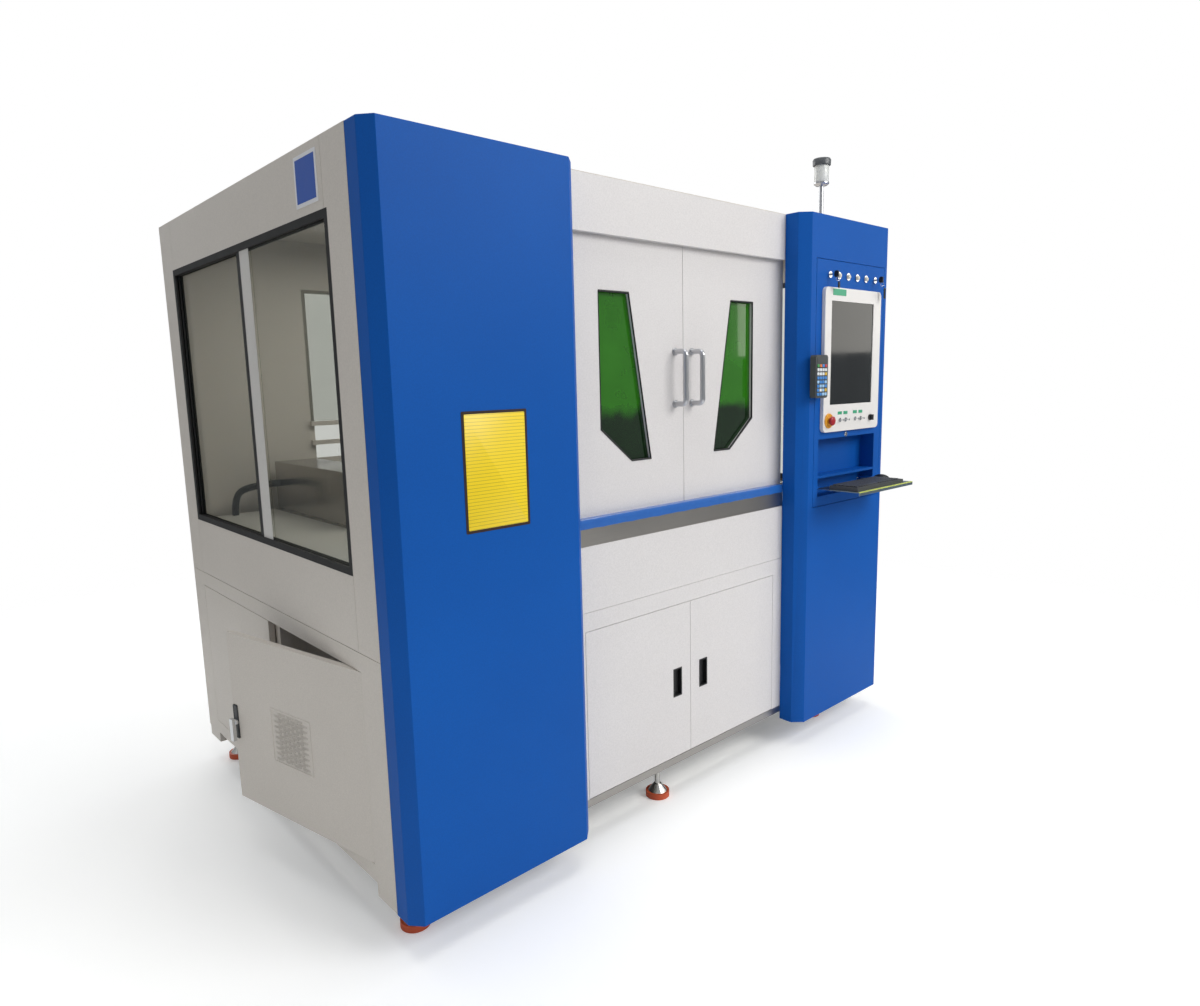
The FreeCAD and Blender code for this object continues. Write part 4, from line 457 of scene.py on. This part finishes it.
# The film's edge profile runs from the sill's top round its nose and down its face.
nose = np.array([(0.030, 0.0004), (0.004, 0.0005), (0.0006, 0.0002), (-0.0006, -0.003),
                 (-0.0009, -0.016), (-0.0006, -0.0318)])
ripple = 0.0003 * np.sin(along * 71) * np.sin(along * 23 + 1)
film_grid = np.empty((len(along), len(nose), 3))
film_grid[..., 0] = along[:, None]
film_grid[..., 1] = sill_low.y + nose[:, 0] - np.abs(ripple)[:, None] * (nose[:, 0] < 0)
film_grid[..., 2] = sill_high.z + nose[:, 1] + ripple[:, None] * (nose[:, 1] < -0.02) * 3
piece("sill_film", film_grid, grid_faces(len(along), len(nose), False), "machine",
      film)

SHEET_FOLD = 0.0015
for folded in ("header_panel", "front_apron", "lower_front_frame", "sill_strip"):
    soften(folded, SHEET_FOLD)

# ---------------------------------------------------------------- lower doors
# Two hinged cupboard doors of folded white sheet, each with a snap-in black pull cup.
cup_black = moulded_plastic("black pull cup", "#0e0f10", "#191a1c", 0.45)
coat(white_coat, "lower_door_left", "lower_door_right")
coat(cup_black, "lower_pull_left", "lower_pull_right")
for folded in ("lower_door_left", "lower_door_right"):
    soften(folded, SHEET_FOLD)

# ---------------------------------------------------------------- sliding doors
# White sliding doors with green laser glass held by a black rubber bead, and bent
# aluminium tube handles bolted through the door.
def tinted_glass(name, tint, body_colour, cover, rough=0.02, deep=None, bright_z=None, glare=1.0):
    """Flat glazing: light passes with a tint, a share of it is held back by the body colour,
    and the face reflects more at a slant by the Fresnel law of glass, IOR 1.5, times `glare`.
    With `deep`, the body colour is that darker one below the height `bright_z`: a painted
    reflection of the dark lower room, not a tint of the glass."""
    made, tree, shader, place = start_material(name, {"Base Color": linear(body_colour),
                                                      "Roughness": 0.08})
    haze = add(tree, "ShaderNodeTexNoise", {"Scale": 9.0, "Detail": 3.0}, {"Vector": place})
    share = add(tree, "ShaderNodeMapRange", {"To Min": cover * 0.8, "To Max": cover * 1.2},
                {"Value": haze.outputs[0]})
    # Painted reflection: below `bright_z` the body colour turns to `deep`, standing in for the dark
    # lower room that the glass reflects.
    if deep:
        height = add(tree, "ShaderNodeSeparateXYZ", links={0: place}).outputs["Z"]
        wavy = add(tree, "ShaderNodeMath", {"operation": "MULTIPLY_ADD", 1: 0.10},
                   {0: haze.outputs[0], 2: height})
        painted_reflection_band = add(tree, "ShaderNodeMapRange",
                   {"From Min": bright_z, "From Max": bright_z + 0.05,
                    "interpolation_type": "SMOOTHSTEP"}, {"Value": wavy.outputs[0]})
        tone = add(tree, "ShaderNodeMix", {"data_type": "RGBA", 6: linear(deep),
                                           7: linear(body_colour)}, {0: painted_reflection_band.outputs[0]})
        tree.links.new(tone.outputs[2], shader.inputs["Base Color"])
    clear = add(tree, "ShaderNodeBsdfTransparent", {"Color": linear(tint)})
    sheet = add(tree, "ShaderNodeMixShader", links={0: share.outputs[0], 1: clear.outputs[0],
                                                    2: shader.outputs[0]})
    shine = add(tree, "ShaderNodeBsdfGlossy", {"Roughness": rough})
    mirror = add(tree, "ShaderNodeFresnel", {"IOR": 1.5})
    slant = add(tree, "ShaderNodeMath", {"operation": "MULTIPLY", 1: glare}, {0: mirror.outputs[0]})
    whole = add(tree, "ShaderNodeMixShader", links={0: slant.outputs[0], 1: sheet.outputs[0],
                                                    2: shine.outputs[0]})
    tree.links.new(whole.outputs[0], tree.nodes["Material Output"].inputs["Surface"])
    return made


# Below 1.50 m the green glass turns dark green: a painted reflection of the dark lower room.
laser_glass = tinted_glass("green laser glass", "#4fc03a", "#3f9a20", 0.5, deep="#1e3a1e",
                           bright_z=1.50)
rubber = moulded_plastic("black rubber", "#121314", "#1c1d1e", 0.6)
satin_aluminium = brushed_steel("satin anodised aluminium", "#c6c7ca", 0.3, 2, 0.0008, 0.06)
coat(white_coat, "upper_door_left", "upper_door_right")
coat(laser_glass, "door_window_left", "door_window_right")
for folded in ("upper_door_left", "upper_door_right"):
    soften(folded, 0.002)
coat(satin_aluminium, "door_handle_left", "door_handle_right", "door_track")

seam_x = (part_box("upper_door_left")[1].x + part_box("upper_door_right")[0].x) / 2
door_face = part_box("upper_door_left")[0].y
# Window corners: out from the doors' seam and up from the ground.
pane_corners = np.array([(0.408, 1.309), (0.408, 1.757), (0.270, 1.757), (0.171, 1.195),
                         (0.267, 1.195)])
# Bead section: a low half round from the door's face into the opening, as (inset, lift).
bead = [(-0.001, 0.0), (-0.001, -0.0016), (0.002, -0.0024), (0.005, -0.0014), (0.006, 0.004)]
corner_count = len(pane_corners)
for side, sign in (("left", -1), ("right", 1)):
    flat = np.stack([seam_x + sign * pane_corners[:, 0], ground + pane_corners[:, 1]], -1)
    inward = flat.mean(0) - flat
    inward /= np.linalg.norm(inward, axis=1, keepdims=True)
    grid = np.stack([np.stack([flat[:, 0] + d * inward[:, 0],
                               np.full(corner_count, door_face + lift),
                               flat[:, 1] + d * inward[:, 1]], -1) for d, lift in bead], 1)
    grid = np.concatenate([grid, grid[:1]])
    piece("window_bead_" + side, grid, grid_faces(corner_count + 1, len(bead), False),
          "sliding_door_" + side, rubber, smooth=False)

# ---------------------------------------------------------------- end walls
# Folded end walls in the front's white powder, darker and warmer here as painted shade, black
# aluminium window frames with sliding panes of clear polycarbonate, and two tray-shaped side doors;
# the front one has louvres.
# The end walls, side doors, rear and roof are the same white paint as the front; their darker,
# warmer colour is painted shade.
shaded_white_coat = powder_coat("white powder with painted shade", "#d8d1c8", "#cec7be", 0.42, 0.004, 0.35)
frame_black = moulded_plastic("black anodised frame", "#050506", "#0b0c0d", 0.62)
clear_sheet = tinted_glass("clear polycarbonate", "#e6e7e4", "#b9c4c0", 0.01, glare=0.16)
coat(shaded_white_coat, "left_end_frame", "right_end_frame", "side_door_front", "side_door_back",
     "rear_panel", "roof_panel")
coat(frame_black, "end_window_frame")
coat(clear_sheet, "end_pane_front", "fixed_panes")

# The panes' meeting stiles are white aluminium with a black brush seal at the leading edge.
pane_low, pane_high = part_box("end_pane_front")
stile_white = powder_coat("white stile", "#d8d5d0", "#cdcac5", 0.4, 0.004, 0.35)
STILE_W, SEAL_W, STILE_GAP = 0.080, 0.028, 0.001
stile_z = (pane_low.z + pane_high.z) / 2
stile_tall = pane_high.z - pane_low.z - 4 * STILE_GAP
seal_far = pane_high.y - STILE_GAP
stepped_plate("pane_stile", (pane_low.x, seal_far - SEAL_W - STILE_W / 2, stile_z), *END, STILE_W,
              stile_tall, 0.002, THIN_EDGE, "window_pane", "light_plastic", stile_white)
stepped_plate("pane_seal", (pane_low.x, seal_far - SEAL_W / 2, stile_z), *END, SEAL_W,
              stile_tall, 0.002, THIN_EDGE, "window_pane", "black_plastic", rubber)

badge_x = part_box("left_end_frame")[0].x
BADGE_Y, BADGE_Z, BADGE_W, BADGE_T, BADGE_RIM = 0.240, 2.012, 0.142, 0.132, 0.010
badge_mid = (badge_x, left_high.y + BADGE_Y, ground + BADGE_Z)
badge_white = moulded_plastic("white print", "#e8e8ea", "#dcdcde", 0.3)
badge_blue = moulded_plastic("blue print", "#0749a6", "#0b4fae", 0.45)
stepped_plate("badge_rim", badge_mid, *END, BADGE_W, BADGE_T, 0.002,
              [(0, 0), (0.0012, 0), (0.0014, 0.0002)], "machine", "light_plastic", badge_white)
stepped_plate("badge_field", (badge_x - 0.0013, badge_mid[1], badge_mid[2]), *END,
              BADGE_W - 2 * BADGE_RIM, BADGE_T - 2 * BADGE_RIM, 0.001,
              [(0, 0), (0.0004, 0), (0.0005, 0.0001)], "machine", "blue_coat", badge_blue)

leaf_joint = next(j for j in frame["joints"] if j["name"] == "side_door_front_hinge")
ajar = -math.radians(leaf_joint["range_deg"][0])
hinge = np.array(leaf_joint["pos_m"])
leaf_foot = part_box("side_door_front")[0].z
LEAF_ALONG = np.array([-math.sin(ajar), math.cos(ajar), 0])
LEAF_OUT = np.array([-math.cos(ajar), -math.sin(ajar), 0])
HINGE_DEEP = 0.005


def on_leaf(s, z, out=0.0):
    """Point on the front side door: s from the hinge, z above its foot, out from its face."""
    return (np.array([hinge[0], hinge[1], leaf_foot]) + np.multiply.outer(s, LEAF_ALONG)
            + np.multiply.outer(z, (0, 0, 1))
            + np.multiply.outer(np.add(out, HINGE_DEEP), LEAF_OUT))


# Louvre hoods: each is a quarter of a flattened tube over its slit, drawn to nothing at its ends.
SLIT_W, SLIT_T, VENT_S, VENT_Z, VENT_W, VENT_T = 0.038, 0.0032, 0.268, 0.196, 0.188, 0.162
SLIT_STEP, ROW_STEP = 1.2 * SLIT_W, 2.8 * SLIT_T
HOOD_ROWS, HOOD_COLUMNS, HOOD_RISE = 7, 4, 0.0046
hoods = []
u, v = np.meshgrid(np.linspace(0, 1, HOOD_ROWS), np.linspace(0, np.pi / 2, HOOD_COLUMNS),
                   indexing="ij")
bulge = HOOD_RISE * np.sin(np.pi * u) ** 0.5
for row in range(int(VENT_T // ROW_STEP)):
    for number in range(int(VENT_W // SLIT_STEP) - row % 2):
        s = VENT_S + 0.006 + (number + 0.5 * (row % 2)) * SLIT_STEP
        z = VENT_Z + 0.005 + row * ROW_STEP
        hoods.append(on_leaf(s + u * SLIT_W, z + SLIT_T * 1.25 - 1.5 * SLIT_T * np.sin(v),
                             bulge * (1 - np.cos(v)) + 0.0001))
hood_points = np.concatenate([h.reshape(-1, 3) for h in hoods])
hood_faces = np.concatenate([grid_faces(HOOD_ROWS, HOOD_COLUMNS, False)
                             + HOOD_ROWS * HOOD_COLUMNS * k for k in range(len(hoods))])
louvre_hoods = piece("louvre_hoods", hood_points, hood_faces, "side_leaf_front",
                     shaded_white_coat)
thick = louvre_hoods.modifiers.new("sheet", "SOLIDIFY")
thick.thickness = 0.0008
thick.offset = 0
# Pressed rim round the louvre field.
RIM_W, RIM_T = VENT_W + 0.024, VENT_T + 0.02
rim_rings = []
for inset, rise in ((0, 0.0001), (0.002, 0.0022), (0.005, 0.0022), (0.007, 0.0001)):
    ring = rounded_outline(RIM_W - 2 * inset, RIM_T - 2 * inset, 0.004, 4)
    rim_rings.append(on_leaf(VENT_S + VENT_W / 2 + ring[:, 0], VENT_Z + VENT_T / 2 + ring[:, 1],
                             rise))
rim_grid = np.stack(rim_rings)
piece("louvre_rim", rim_grid, grid_faces(*rim_grid.shape[:2]), "side_leaf_front",
      shaded_white_coat)
# Latch escutcheon: a black plate with a raised rim round the lever's boss.
latch_black = moulded_plastic("black zinc latch plate", "#26272a", "#303236", 0.35)
LATCH_S, LATCH_Z, LATCH_W, LATCH_T = 0.672, 0.271, 0.026, 0.118
raised_rim = [(0, 0), (0.0025, 0), (0.004, 0.002), (0.004, 0.004), (0.003, 0.005)]
stepped_plate("latch_plate_front", on_leaf(LATCH_S, LATCH_Z, 0.0002), -LEAF_ALONG, (0, 0, 1),
              LATCH_W, LATCH_T, 0.006, raised_rim, "side_leaf_front", "black_plastic", latch_black)
back_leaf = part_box("side_door_back")
back_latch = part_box("side_latch_back")
back_mid = (back_leaf[0].x - 0.0002, (back_latch[0].y + back_latch[1].y) / 2, leaf_foot + LATCH_Z)
stepped_plate("latch_plate_back", back_mid, *END, LATCH_W, LATCH_T, 0.006, raised_rim,
              "side_leaf_back", "black_plastic", latch_black)
chrome = plated_steel("polished chrome", "#d6d7d9", 0.1)
coat(chrome, "side_latch_front", "side_latch_back")

# ---------------------------------------------------------------- motion system
# Stainless rail covers with pan-head screws along their flanges, steel ways, an aluminium
# gantry beam, a blue cross carriage and the cutting head, whose copper nozzle is here in the beam's
# aluminium like the rest of the head.
def turned(name, spots, out, profile, body, material, sides=24):
    """Turned parts: point(k, a) = spot + h(k) out + r(k) (cos a side + sin a other), for each
    (h, r) of the profile and each spot; both ends are closed."""
    out = np.asarray(out, float)
    side = np.cross(out, (0.0, 0.0, 1.0) if abs(out[2]) < 0.9 else (1.0, 0.0, 0.0))
    side /= np.linalg.norm(side)
    other = np.cross(out, side)
    a = np.linspace(0, 2 * np.pi, sides, endpoint=False)
    h, r = np.array(profile).T
    ring = np.cos(a)[:, None] * side + np.sin(a)[:, None] * other
    shape = h[:, None, None] * out + r[:, None, None] * ring
    count = shape.shape[0] * sides
    spots = np.atleast_2d(spots)
    points = (spots[:, None, None] + shape).reshape(-1, 3)
    faces = np.concatenate([grid_faces(len(h), sides) + count * k for k in range(len(spots))])
    ends = []
    for k in range(len(spots)):
        ends += [range(count * k, count * k + sides),
                 range(count * (k + 1) - sides, count * (k + 1))]
    return piece(name, points, faces, body, material, ends=ends)


cover_steel = brushed_steel("bright stainless cover", "#b7b2ab", 0.2, 1, 0.002, 0.1)
beam_aluminium = brushed_steel("milled aluminium", "#b9babd", 0.34, 0)
coat(cover_steel, "rail_covers")
coat(beam_aluminium, "gantry_beam", "cutting_head")
cover_low, cover_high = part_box("rail_covers")
SCREWS, SCREW_END, SCREW_IN, FLANGE_T = 7, 0.03, 0.007, 0.002
screw_y = np.linspace(cover_low.y + SCREW_END, cover_high.y - SCREW_END, SCREWS)
pan_head = [(0, 0.0045), (0.0012, 0.0045), (0.0024, 0.0032), (0.0028, 0.0016)]
screws = np.concatenate([np.stack([np.full(SCREWS, x), screw_y,
                                   np.full(SCREWS, cover_low.z + FLANGE_T)], -1)
                         for x in (cover_low.x + SCREW_IN, cover_high.x - SCREW_IN)])
turned("cover_screws", screws, (0, 0, 1), pan_head, "machine", bright_zinc, 12)

# ---------------------------------------------------------------- control column
# White moulded bezel round a glass display, inset in the blue panel, with green engraved
# tags, chrome toggles, a knob, an emergency stop, lit push buttons and two key switches.
bezel_white = moulded_plastic("white bezel", "#eae7e5", "#e2dfdc", 0.4)
display, tree, shader, place = start_material("display glass", {"Roughness": 0.06,
                                                                "Specular IOR Level": 0.5})
smear = add(tree, "ShaderNodeTexNoise", {"Scale": 7.0, "Detail": 3.0}, {"Vector": place})
tone = add(tree, "ShaderNodeMix", {"data_type": "RGBA", 6: linear("#16191b"),
                                   7: linear("#1e2224")}, {0: smear.outputs[0]})
gloss = add(tree, "ShaderNodeMapRange", {"To Min": 0.03, "To Max": 0.1},
            {"Value": smear.outputs[0]})
feed(tree, shader, {"Base Color": tone.outputs[2], "Roughness": gloss.outputs[0]})
knob_black = moulded_plastic("black knob", "#1b1c1e", "#27292c", 0.3)
coat(bezel_white, "screen_bezel")
coat(display, "screen")
coat(chrome, "control_collars", "toggle_switches", "switch_key_left", "switch_key_right")
coat(knob_black, "selector_knob")

bezel_low, bezel_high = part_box("screen_bezel")
tag_green = moulded_plastic("green engraved tag", "#2f9a72", "#38a67d", 0.35)
tag_edge = [(0, 0), (0.0006, 0), (0.0009, 0.0003)]
TAG_X, TAG_DOWN, TAG_W, TAG_T = 0.105, 0.018, 0.100, 0.026
stepped_plate("bezel_tag", (bezel_low.x + TAG_X, bezel_low.y, bezel_high.z - TAG_DOWN), *FACE,
              TAG_W, TAG_T, 0.002, tag_edge, "machine", "light_plastic", tag_green)
row_z = (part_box("stop_button")[0].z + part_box("stop_button")[1].z) / 2
TOGGLE_X = (2.076, 2.121, 2.198, 2.243)       # from the machine's left side, as the stop is
TOGGLE_TAG_W, TOGGLE_TAG_T, TOGGLE_TAG_UP, STOP_X = 0.032, 0.013, 0.029, 1.990
for number, x in enumerate(TOGGLE_X, 1):
    stepped_plate("toggle_tag_%d" % number, (left_low.x + x, bezel_low.y, row_z + TOGGLE_TAG_UP),
                  *FACE, TOGGLE_TAG_W, TOGGLE_TAG_T, 0.001, tag_edge, "machine", "light_plastic",
                  tag_green, 3)

stop_mid = (left_low.x + STOP_X, bezel_low.y, row_z)
stop_yellow = moulded_plastic("yellow stop base", "#eda82c", "#e0991f", 0.4)
stop_red = moulded_plastic("red stop head", "#b01e2c", "#9c1723", 0.28)
turned("stop_base", stop_mid, FORWARD, [(0, 0.0305), (0.0035, 0.0305), (0.006, 0.028),
       (0.0062, 0.016), (0.0075, 0.0145), (0.0075, 0.0098)], "machine",
       stop_yellow, 40)
stop_head = turned("stop_head", stop_mid, FORWARD,
                   [(0.0056, 0.0078), (0.0125, 0.0078), (0.014, 0.0165), (0.0165, 0.0188),
                    (0.0205, 0.0188), (0.0235, 0.0172), (0.0252, 0.0135), (0.026, 0.008),
                    (0.0262, 0.003)], "stop_head", stop_red, 40)
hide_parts("stop_button")

button_cream = moulded_plastic("cream button dome", "#e4dfd2", "#d8d2c4", 0.25)
for number in range(1, 5):
    low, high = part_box("push_button_%d" % number)
    mid = ((low.x + high.x) / 2, low.y, (low.z + high.z) / 2)
    r = (high.x - low.x) / 2
    dome = turned("button_dome_%d" % number, mid, FORWARD,
                  [(-0.0155, r * 0.98), (-0.002, r * 0.98), (0.0006, r * 0.93), (0.0022, r * 0.75),
                   (0.0033, r * 0.45), (0.0036, r * 0.15)], "button_%d" % number,
                  button_cream)
    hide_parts("push_button_%d" % number)

# Each key has a black moulded head on its steel bow; a split ring through the head carries
# a tag, which hangs straight down while the key is at rest.
key_black = moulded_plastic("black key head", "#101113", "#1a1b1e", 0.35)


def ring_torus(name, middle, out, radius, wire, body, material):
    """Split ring: a torus about `out`, point = middle + (R + r cos b) side(a) + r sin b out."""
    out = np.asarray(out, float) / np.linalg.norm(out)
    side = np.cross(out, (0.0, 0.0, 1.0))
    side /= np.linalg.norm(side)
    other = np.cross(out, side)
    a, b = np.meshgrid(np.linspace(0, 2 * np.pi, 33), np.linspace(0, 2 * np.pi, 8, endpoint=False),
                       indexing="ij")
    arm = np.cos(a)[..., None] * side + np.sin(a)[..., None] * other
    points = (np.asarray(middle) + (radius + wire * np.cos(b))[..., None] * arm
              + (wire * np.sin(b))[..., None] * out)
    return piece(name, points, grid_faces(33, 8), body, material)


key_edge = [(0, 0.001), (0.001, 0), (0.007, 0), (0.008, 0.001)]
fob_edge = [(0, 0.001), (0.001, 0), (0.004, 0), (0.005, 0.001)]
for side, fob, sway in (("left", 0.034, 0.006), ("right", 0.062, 0.018)):
    low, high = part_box("switch_key_" + side)
    mid = Vector(((low.x + high.x) / 2, low.y, (low.z + high.z) / 2))
    body = "key_" + side
    stepped_plate("key_head_" + side, (mid.x - 0.004, low.y + 0.009, mid.z), (0, 1, 0), (0, 0, 1),
                  0.018, 0.026, 0.007, key_edge, body, "black_plastic", key_black)
    ring_torus("key_ring_" + side, (mid.x + 0.004, low.y + 0.006, mid.z - 0.019), (0.3, 1, 0),
               0.0085, 0.0008, body, chrome)
    hang = (mid.x + sway, low.y + 0.004, mid.z - 0.026 - fob / 2)
    stepped_plate("key_tag_" + side, hang, (0.97, 0.24, 0), (0, 0, 1), 0.017, fob * 0.75, 0.006,
                  fob_edge, body, "black_plastic", key_black)

# Quarter-turn cam lock under the bezel: chrome barrel with a slotted plug.
LOCK_X, LOCK_Z = 2.152, 1.219
lock_mid = (left_low.x + LOCK_X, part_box("control_panel")[0].y, ground + LOCK_Z)
turned("panel_lock", lock_mid, FORWARD, [(-0.001, 0.0105), (0.002, 0.0105), (0.0035, 0.009),
       (0.0035, 0.0075), (0.0045, 0.007), (0.005, 0.0065), (0.0051, 0.002)], "machine",
       chrome)
stepped_plate("panel_lock_slot", (lock_mid[0], lock_mid[1] - 0.0049, lock_mid[2]), *FACE, 0.0024,
              0.009, 0.001, [(0, 0), (0.0004, 0)], "machine", "black_plastic", key_black, 2)

# Hand pendant: dark shell with a membrane face; each key is a small domed pad, coloured by row.
pendant_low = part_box("hand_pendant")[0]
case_grey = moulded_plastic("dark pendant case", "#3a3e40", "#444849", 0.45)
coat(case_grey, "hand_pendant")
KEY_ROWS = ["bbll", "bwly", "bllb", "lbbl", "bbbb", "wwwy", "wwww", "gobr"]
KEY_INKS = {"b": "#3f86cf", "l": "#9cc4e6", "w": "#dfe3e6", "y": "#dcb23c", "g": "#3f9a52",
            "o": "#d9763c", "r": "#c23a44"}
PAD_W, PAD_T, STEP_X, STEP_Z = 0.0148, 0.0114, 0.0182, 0.016
FIRST_X, FIRST_Z = 0.009, 0.010        # the first pad's near corner, from the case's
PAD_IN_X, PAD_IN_Z = 0.00725, 0.0055   # and its middle, from that corner
pads, tints = [], []
pad_flat = rounded_outline(PAD_W, PAD_T, 0.002, 3)
for row, inks in enumerate(KEY_ROWS):
    for column, ink in enumerate(inks):
        mid = (pendant_low.x + FIRST_X + STEP_X * column + PAD_IN_X,
               pendant_low.z + FIRST_Z + STEP_Z * row + PAD_IN_Z)
        rings = [np.stack([mid[0] + k * pad_flat[:, 0],
                           np.full(len(pad_flat), pendant_low.y - lift),
                           mid[1] + k * pad_flat[:, 1]], -1)
                 for k, lift in ((1, -0.0004), (1, 0.0004), (0.9, 0.0009), (0.5, 0.0011))]
        pads.append(np.stack(rings))
        tints.append(linear(KEY_INKS[ink]))
rows, columns = pads[0].shape[:2]
count = rows * columns
pad_faces = np.concatenate([grid_faces(rows, columns) + count * k for k in range(len(pads))])
caps = [range(count * (k + 1) - columns, count * (k + 1)) for k in range(len(pads))]
membrane, tree, shader, place = start_material("membrane key", {"Roughness": 0.35})
ink_of = add(tree, "ShaderNodeAttribute", {"attribute_name": "ink"})
grainy = add(tree, "ShaderNodeTexNoise", {"Scale": 900.0}, {"Vector": place})
bump = add(tree, "ShaderNodeBump", {"Strength": 0.2, "Distance": 0.0001},
           {"Height": grainy.outputs[0]})
feed(tree, shader, {"Base Color": ink_of.outputs["Color"], "Normal": bump.outputs[0]})
pendant_keys = piece("pendant_keys", np.concatenate([p.reshape(-1, 3) for p in pads]), pad_faces,
                     "machine", membrane, ends=caps)
ink_layer = pendant_keys.data.color_attributes.new("ink", "FLOAT_COLOR", "POINT")
spots = np.empty(len(pendant_keys.data.vertices) * 3)
pendant_keys.data.vertices.foreach_get("co", spots)
spots = spots.reshape(-1, 3)
# Each point takes the ink of the pad it is on; the last terms reach half a gap past the pad.
key_columns = len(KEY_ROWS[0])
column = ((spots[:, 0] - pendant_low.x - FIRST_X + 0.0018) / STEP_X).astype(int)
row = ((spots[:, 2] - pendant_low.z - FIRST_Z + 0.0024) / STEP_Z).astype(int)
owner = np.clip(row, 0, len(KEY_ROWS) - 1) * key_columns + np.clip(column, 0, key_columns - 1)
ink_layer.data.foreach_set("color", np.array(tints)[owner].ravel())

# Signal lamp: aluminium pole on a flange, milky dome between a dark collar and a cap.
lamp_low, lamp_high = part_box("signal_lamp")
lamp_foot = ((lamp_low.x + lamp_high.x) / 2, (lamp_low.y + lamp_high.y) / 2, lamp_low.z)
LAMP_T = lamp_high.z - lamp_low.z
lamp_milk = moulded_plastic("milky lamp lens", "#dfe0dc", "#d2d4d1", 0.22)
lamp_dark = moulded_plastic("dark lamp collar", "#4a4d50", "#55585b", 0.35)
UP = (0, 0, 1)
lamp_pole = turned("lamp_pole", lamp_foot, UP, [(0, 0.030), (0.004, 0.030), (0.008, 0.026),
                   (0.011, 0.012), (0.014, 0.0095), (LAMP_T - 0.112, 0.0095),
                   (LAMP_T - 0.110, 0.024), (LAMP_T - 0.104, 0.031), (LAMP_T - 0.098, 0.031),
                   (LAMP_T - 0.096, 0.028)], "machine", satin_aluminium, 32)
turned("lamp_lens", lamp_foot, UP, [(LAMP_T - 0.098, 0.0285), (LAMP_T - 0.094, 0.0295),
       (LAMP_T - 0.034, 0.0295), (LAMP_T - 0.030, 0.028)], "machine", lamp_milk,
       32)
turned("lamp_cap", lamp_foot, UP, [(LAMP_T - 0.032, 0.030), (LAMP_T - 0.030, 0.0365),
       (LAMP_T - 0.010, 0.0375), (LAMP_T - 0.004, 0.034), (LAMP_T - 0.0005, 0.020),
       (LAMP_T - 0.0002, 0.006)], "machine", lamp_dark, 32)
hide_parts("signal_lamp")

# Keyboard on its pull-out tray, with a small mouse beside it, both in black plastic.
coat(moulded_plastic("black keyboard", "#3b3d40", "#47494c", 0.5), "keyboard")
coat(moulded_plastic("black mouse", "#141517", "#1e1f22", 0.35), "mouse")
tray_coat = brushed_steel("tray stainless", "#8fa3b0", 0.32, 0)
coat(tray_coat, "keyboard_tray")
tray_low, tray_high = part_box("keyboard_tray")
edge_lime = moulded_plastic("lime edge strip", "#c7cf6a", "#b5bf5c", 0.4)
# The strip folds over the tray's front edge: a lip on top, then down the face.
strip_along = np.linspace(tray_low.x, tray_high.x, 24)
fold = np.array([(0.009, 0.0), (0.0088, 0.0005), (0.0006, 0.0005), (-0.0001, 0.0001),
                 (-0.0001, -0.0028)])
strip_grid = np.stack(np.broadcast_arrays(
    strip_along[:, None], tray_low.y + fold[None, :, 0], tray_high.z + fold[None, :, 1]), -1)
piece("tray_edge_strip", strip_grid, grid_faces(*strip_grid.shape[:2], False), "tray",
      edge_lime)
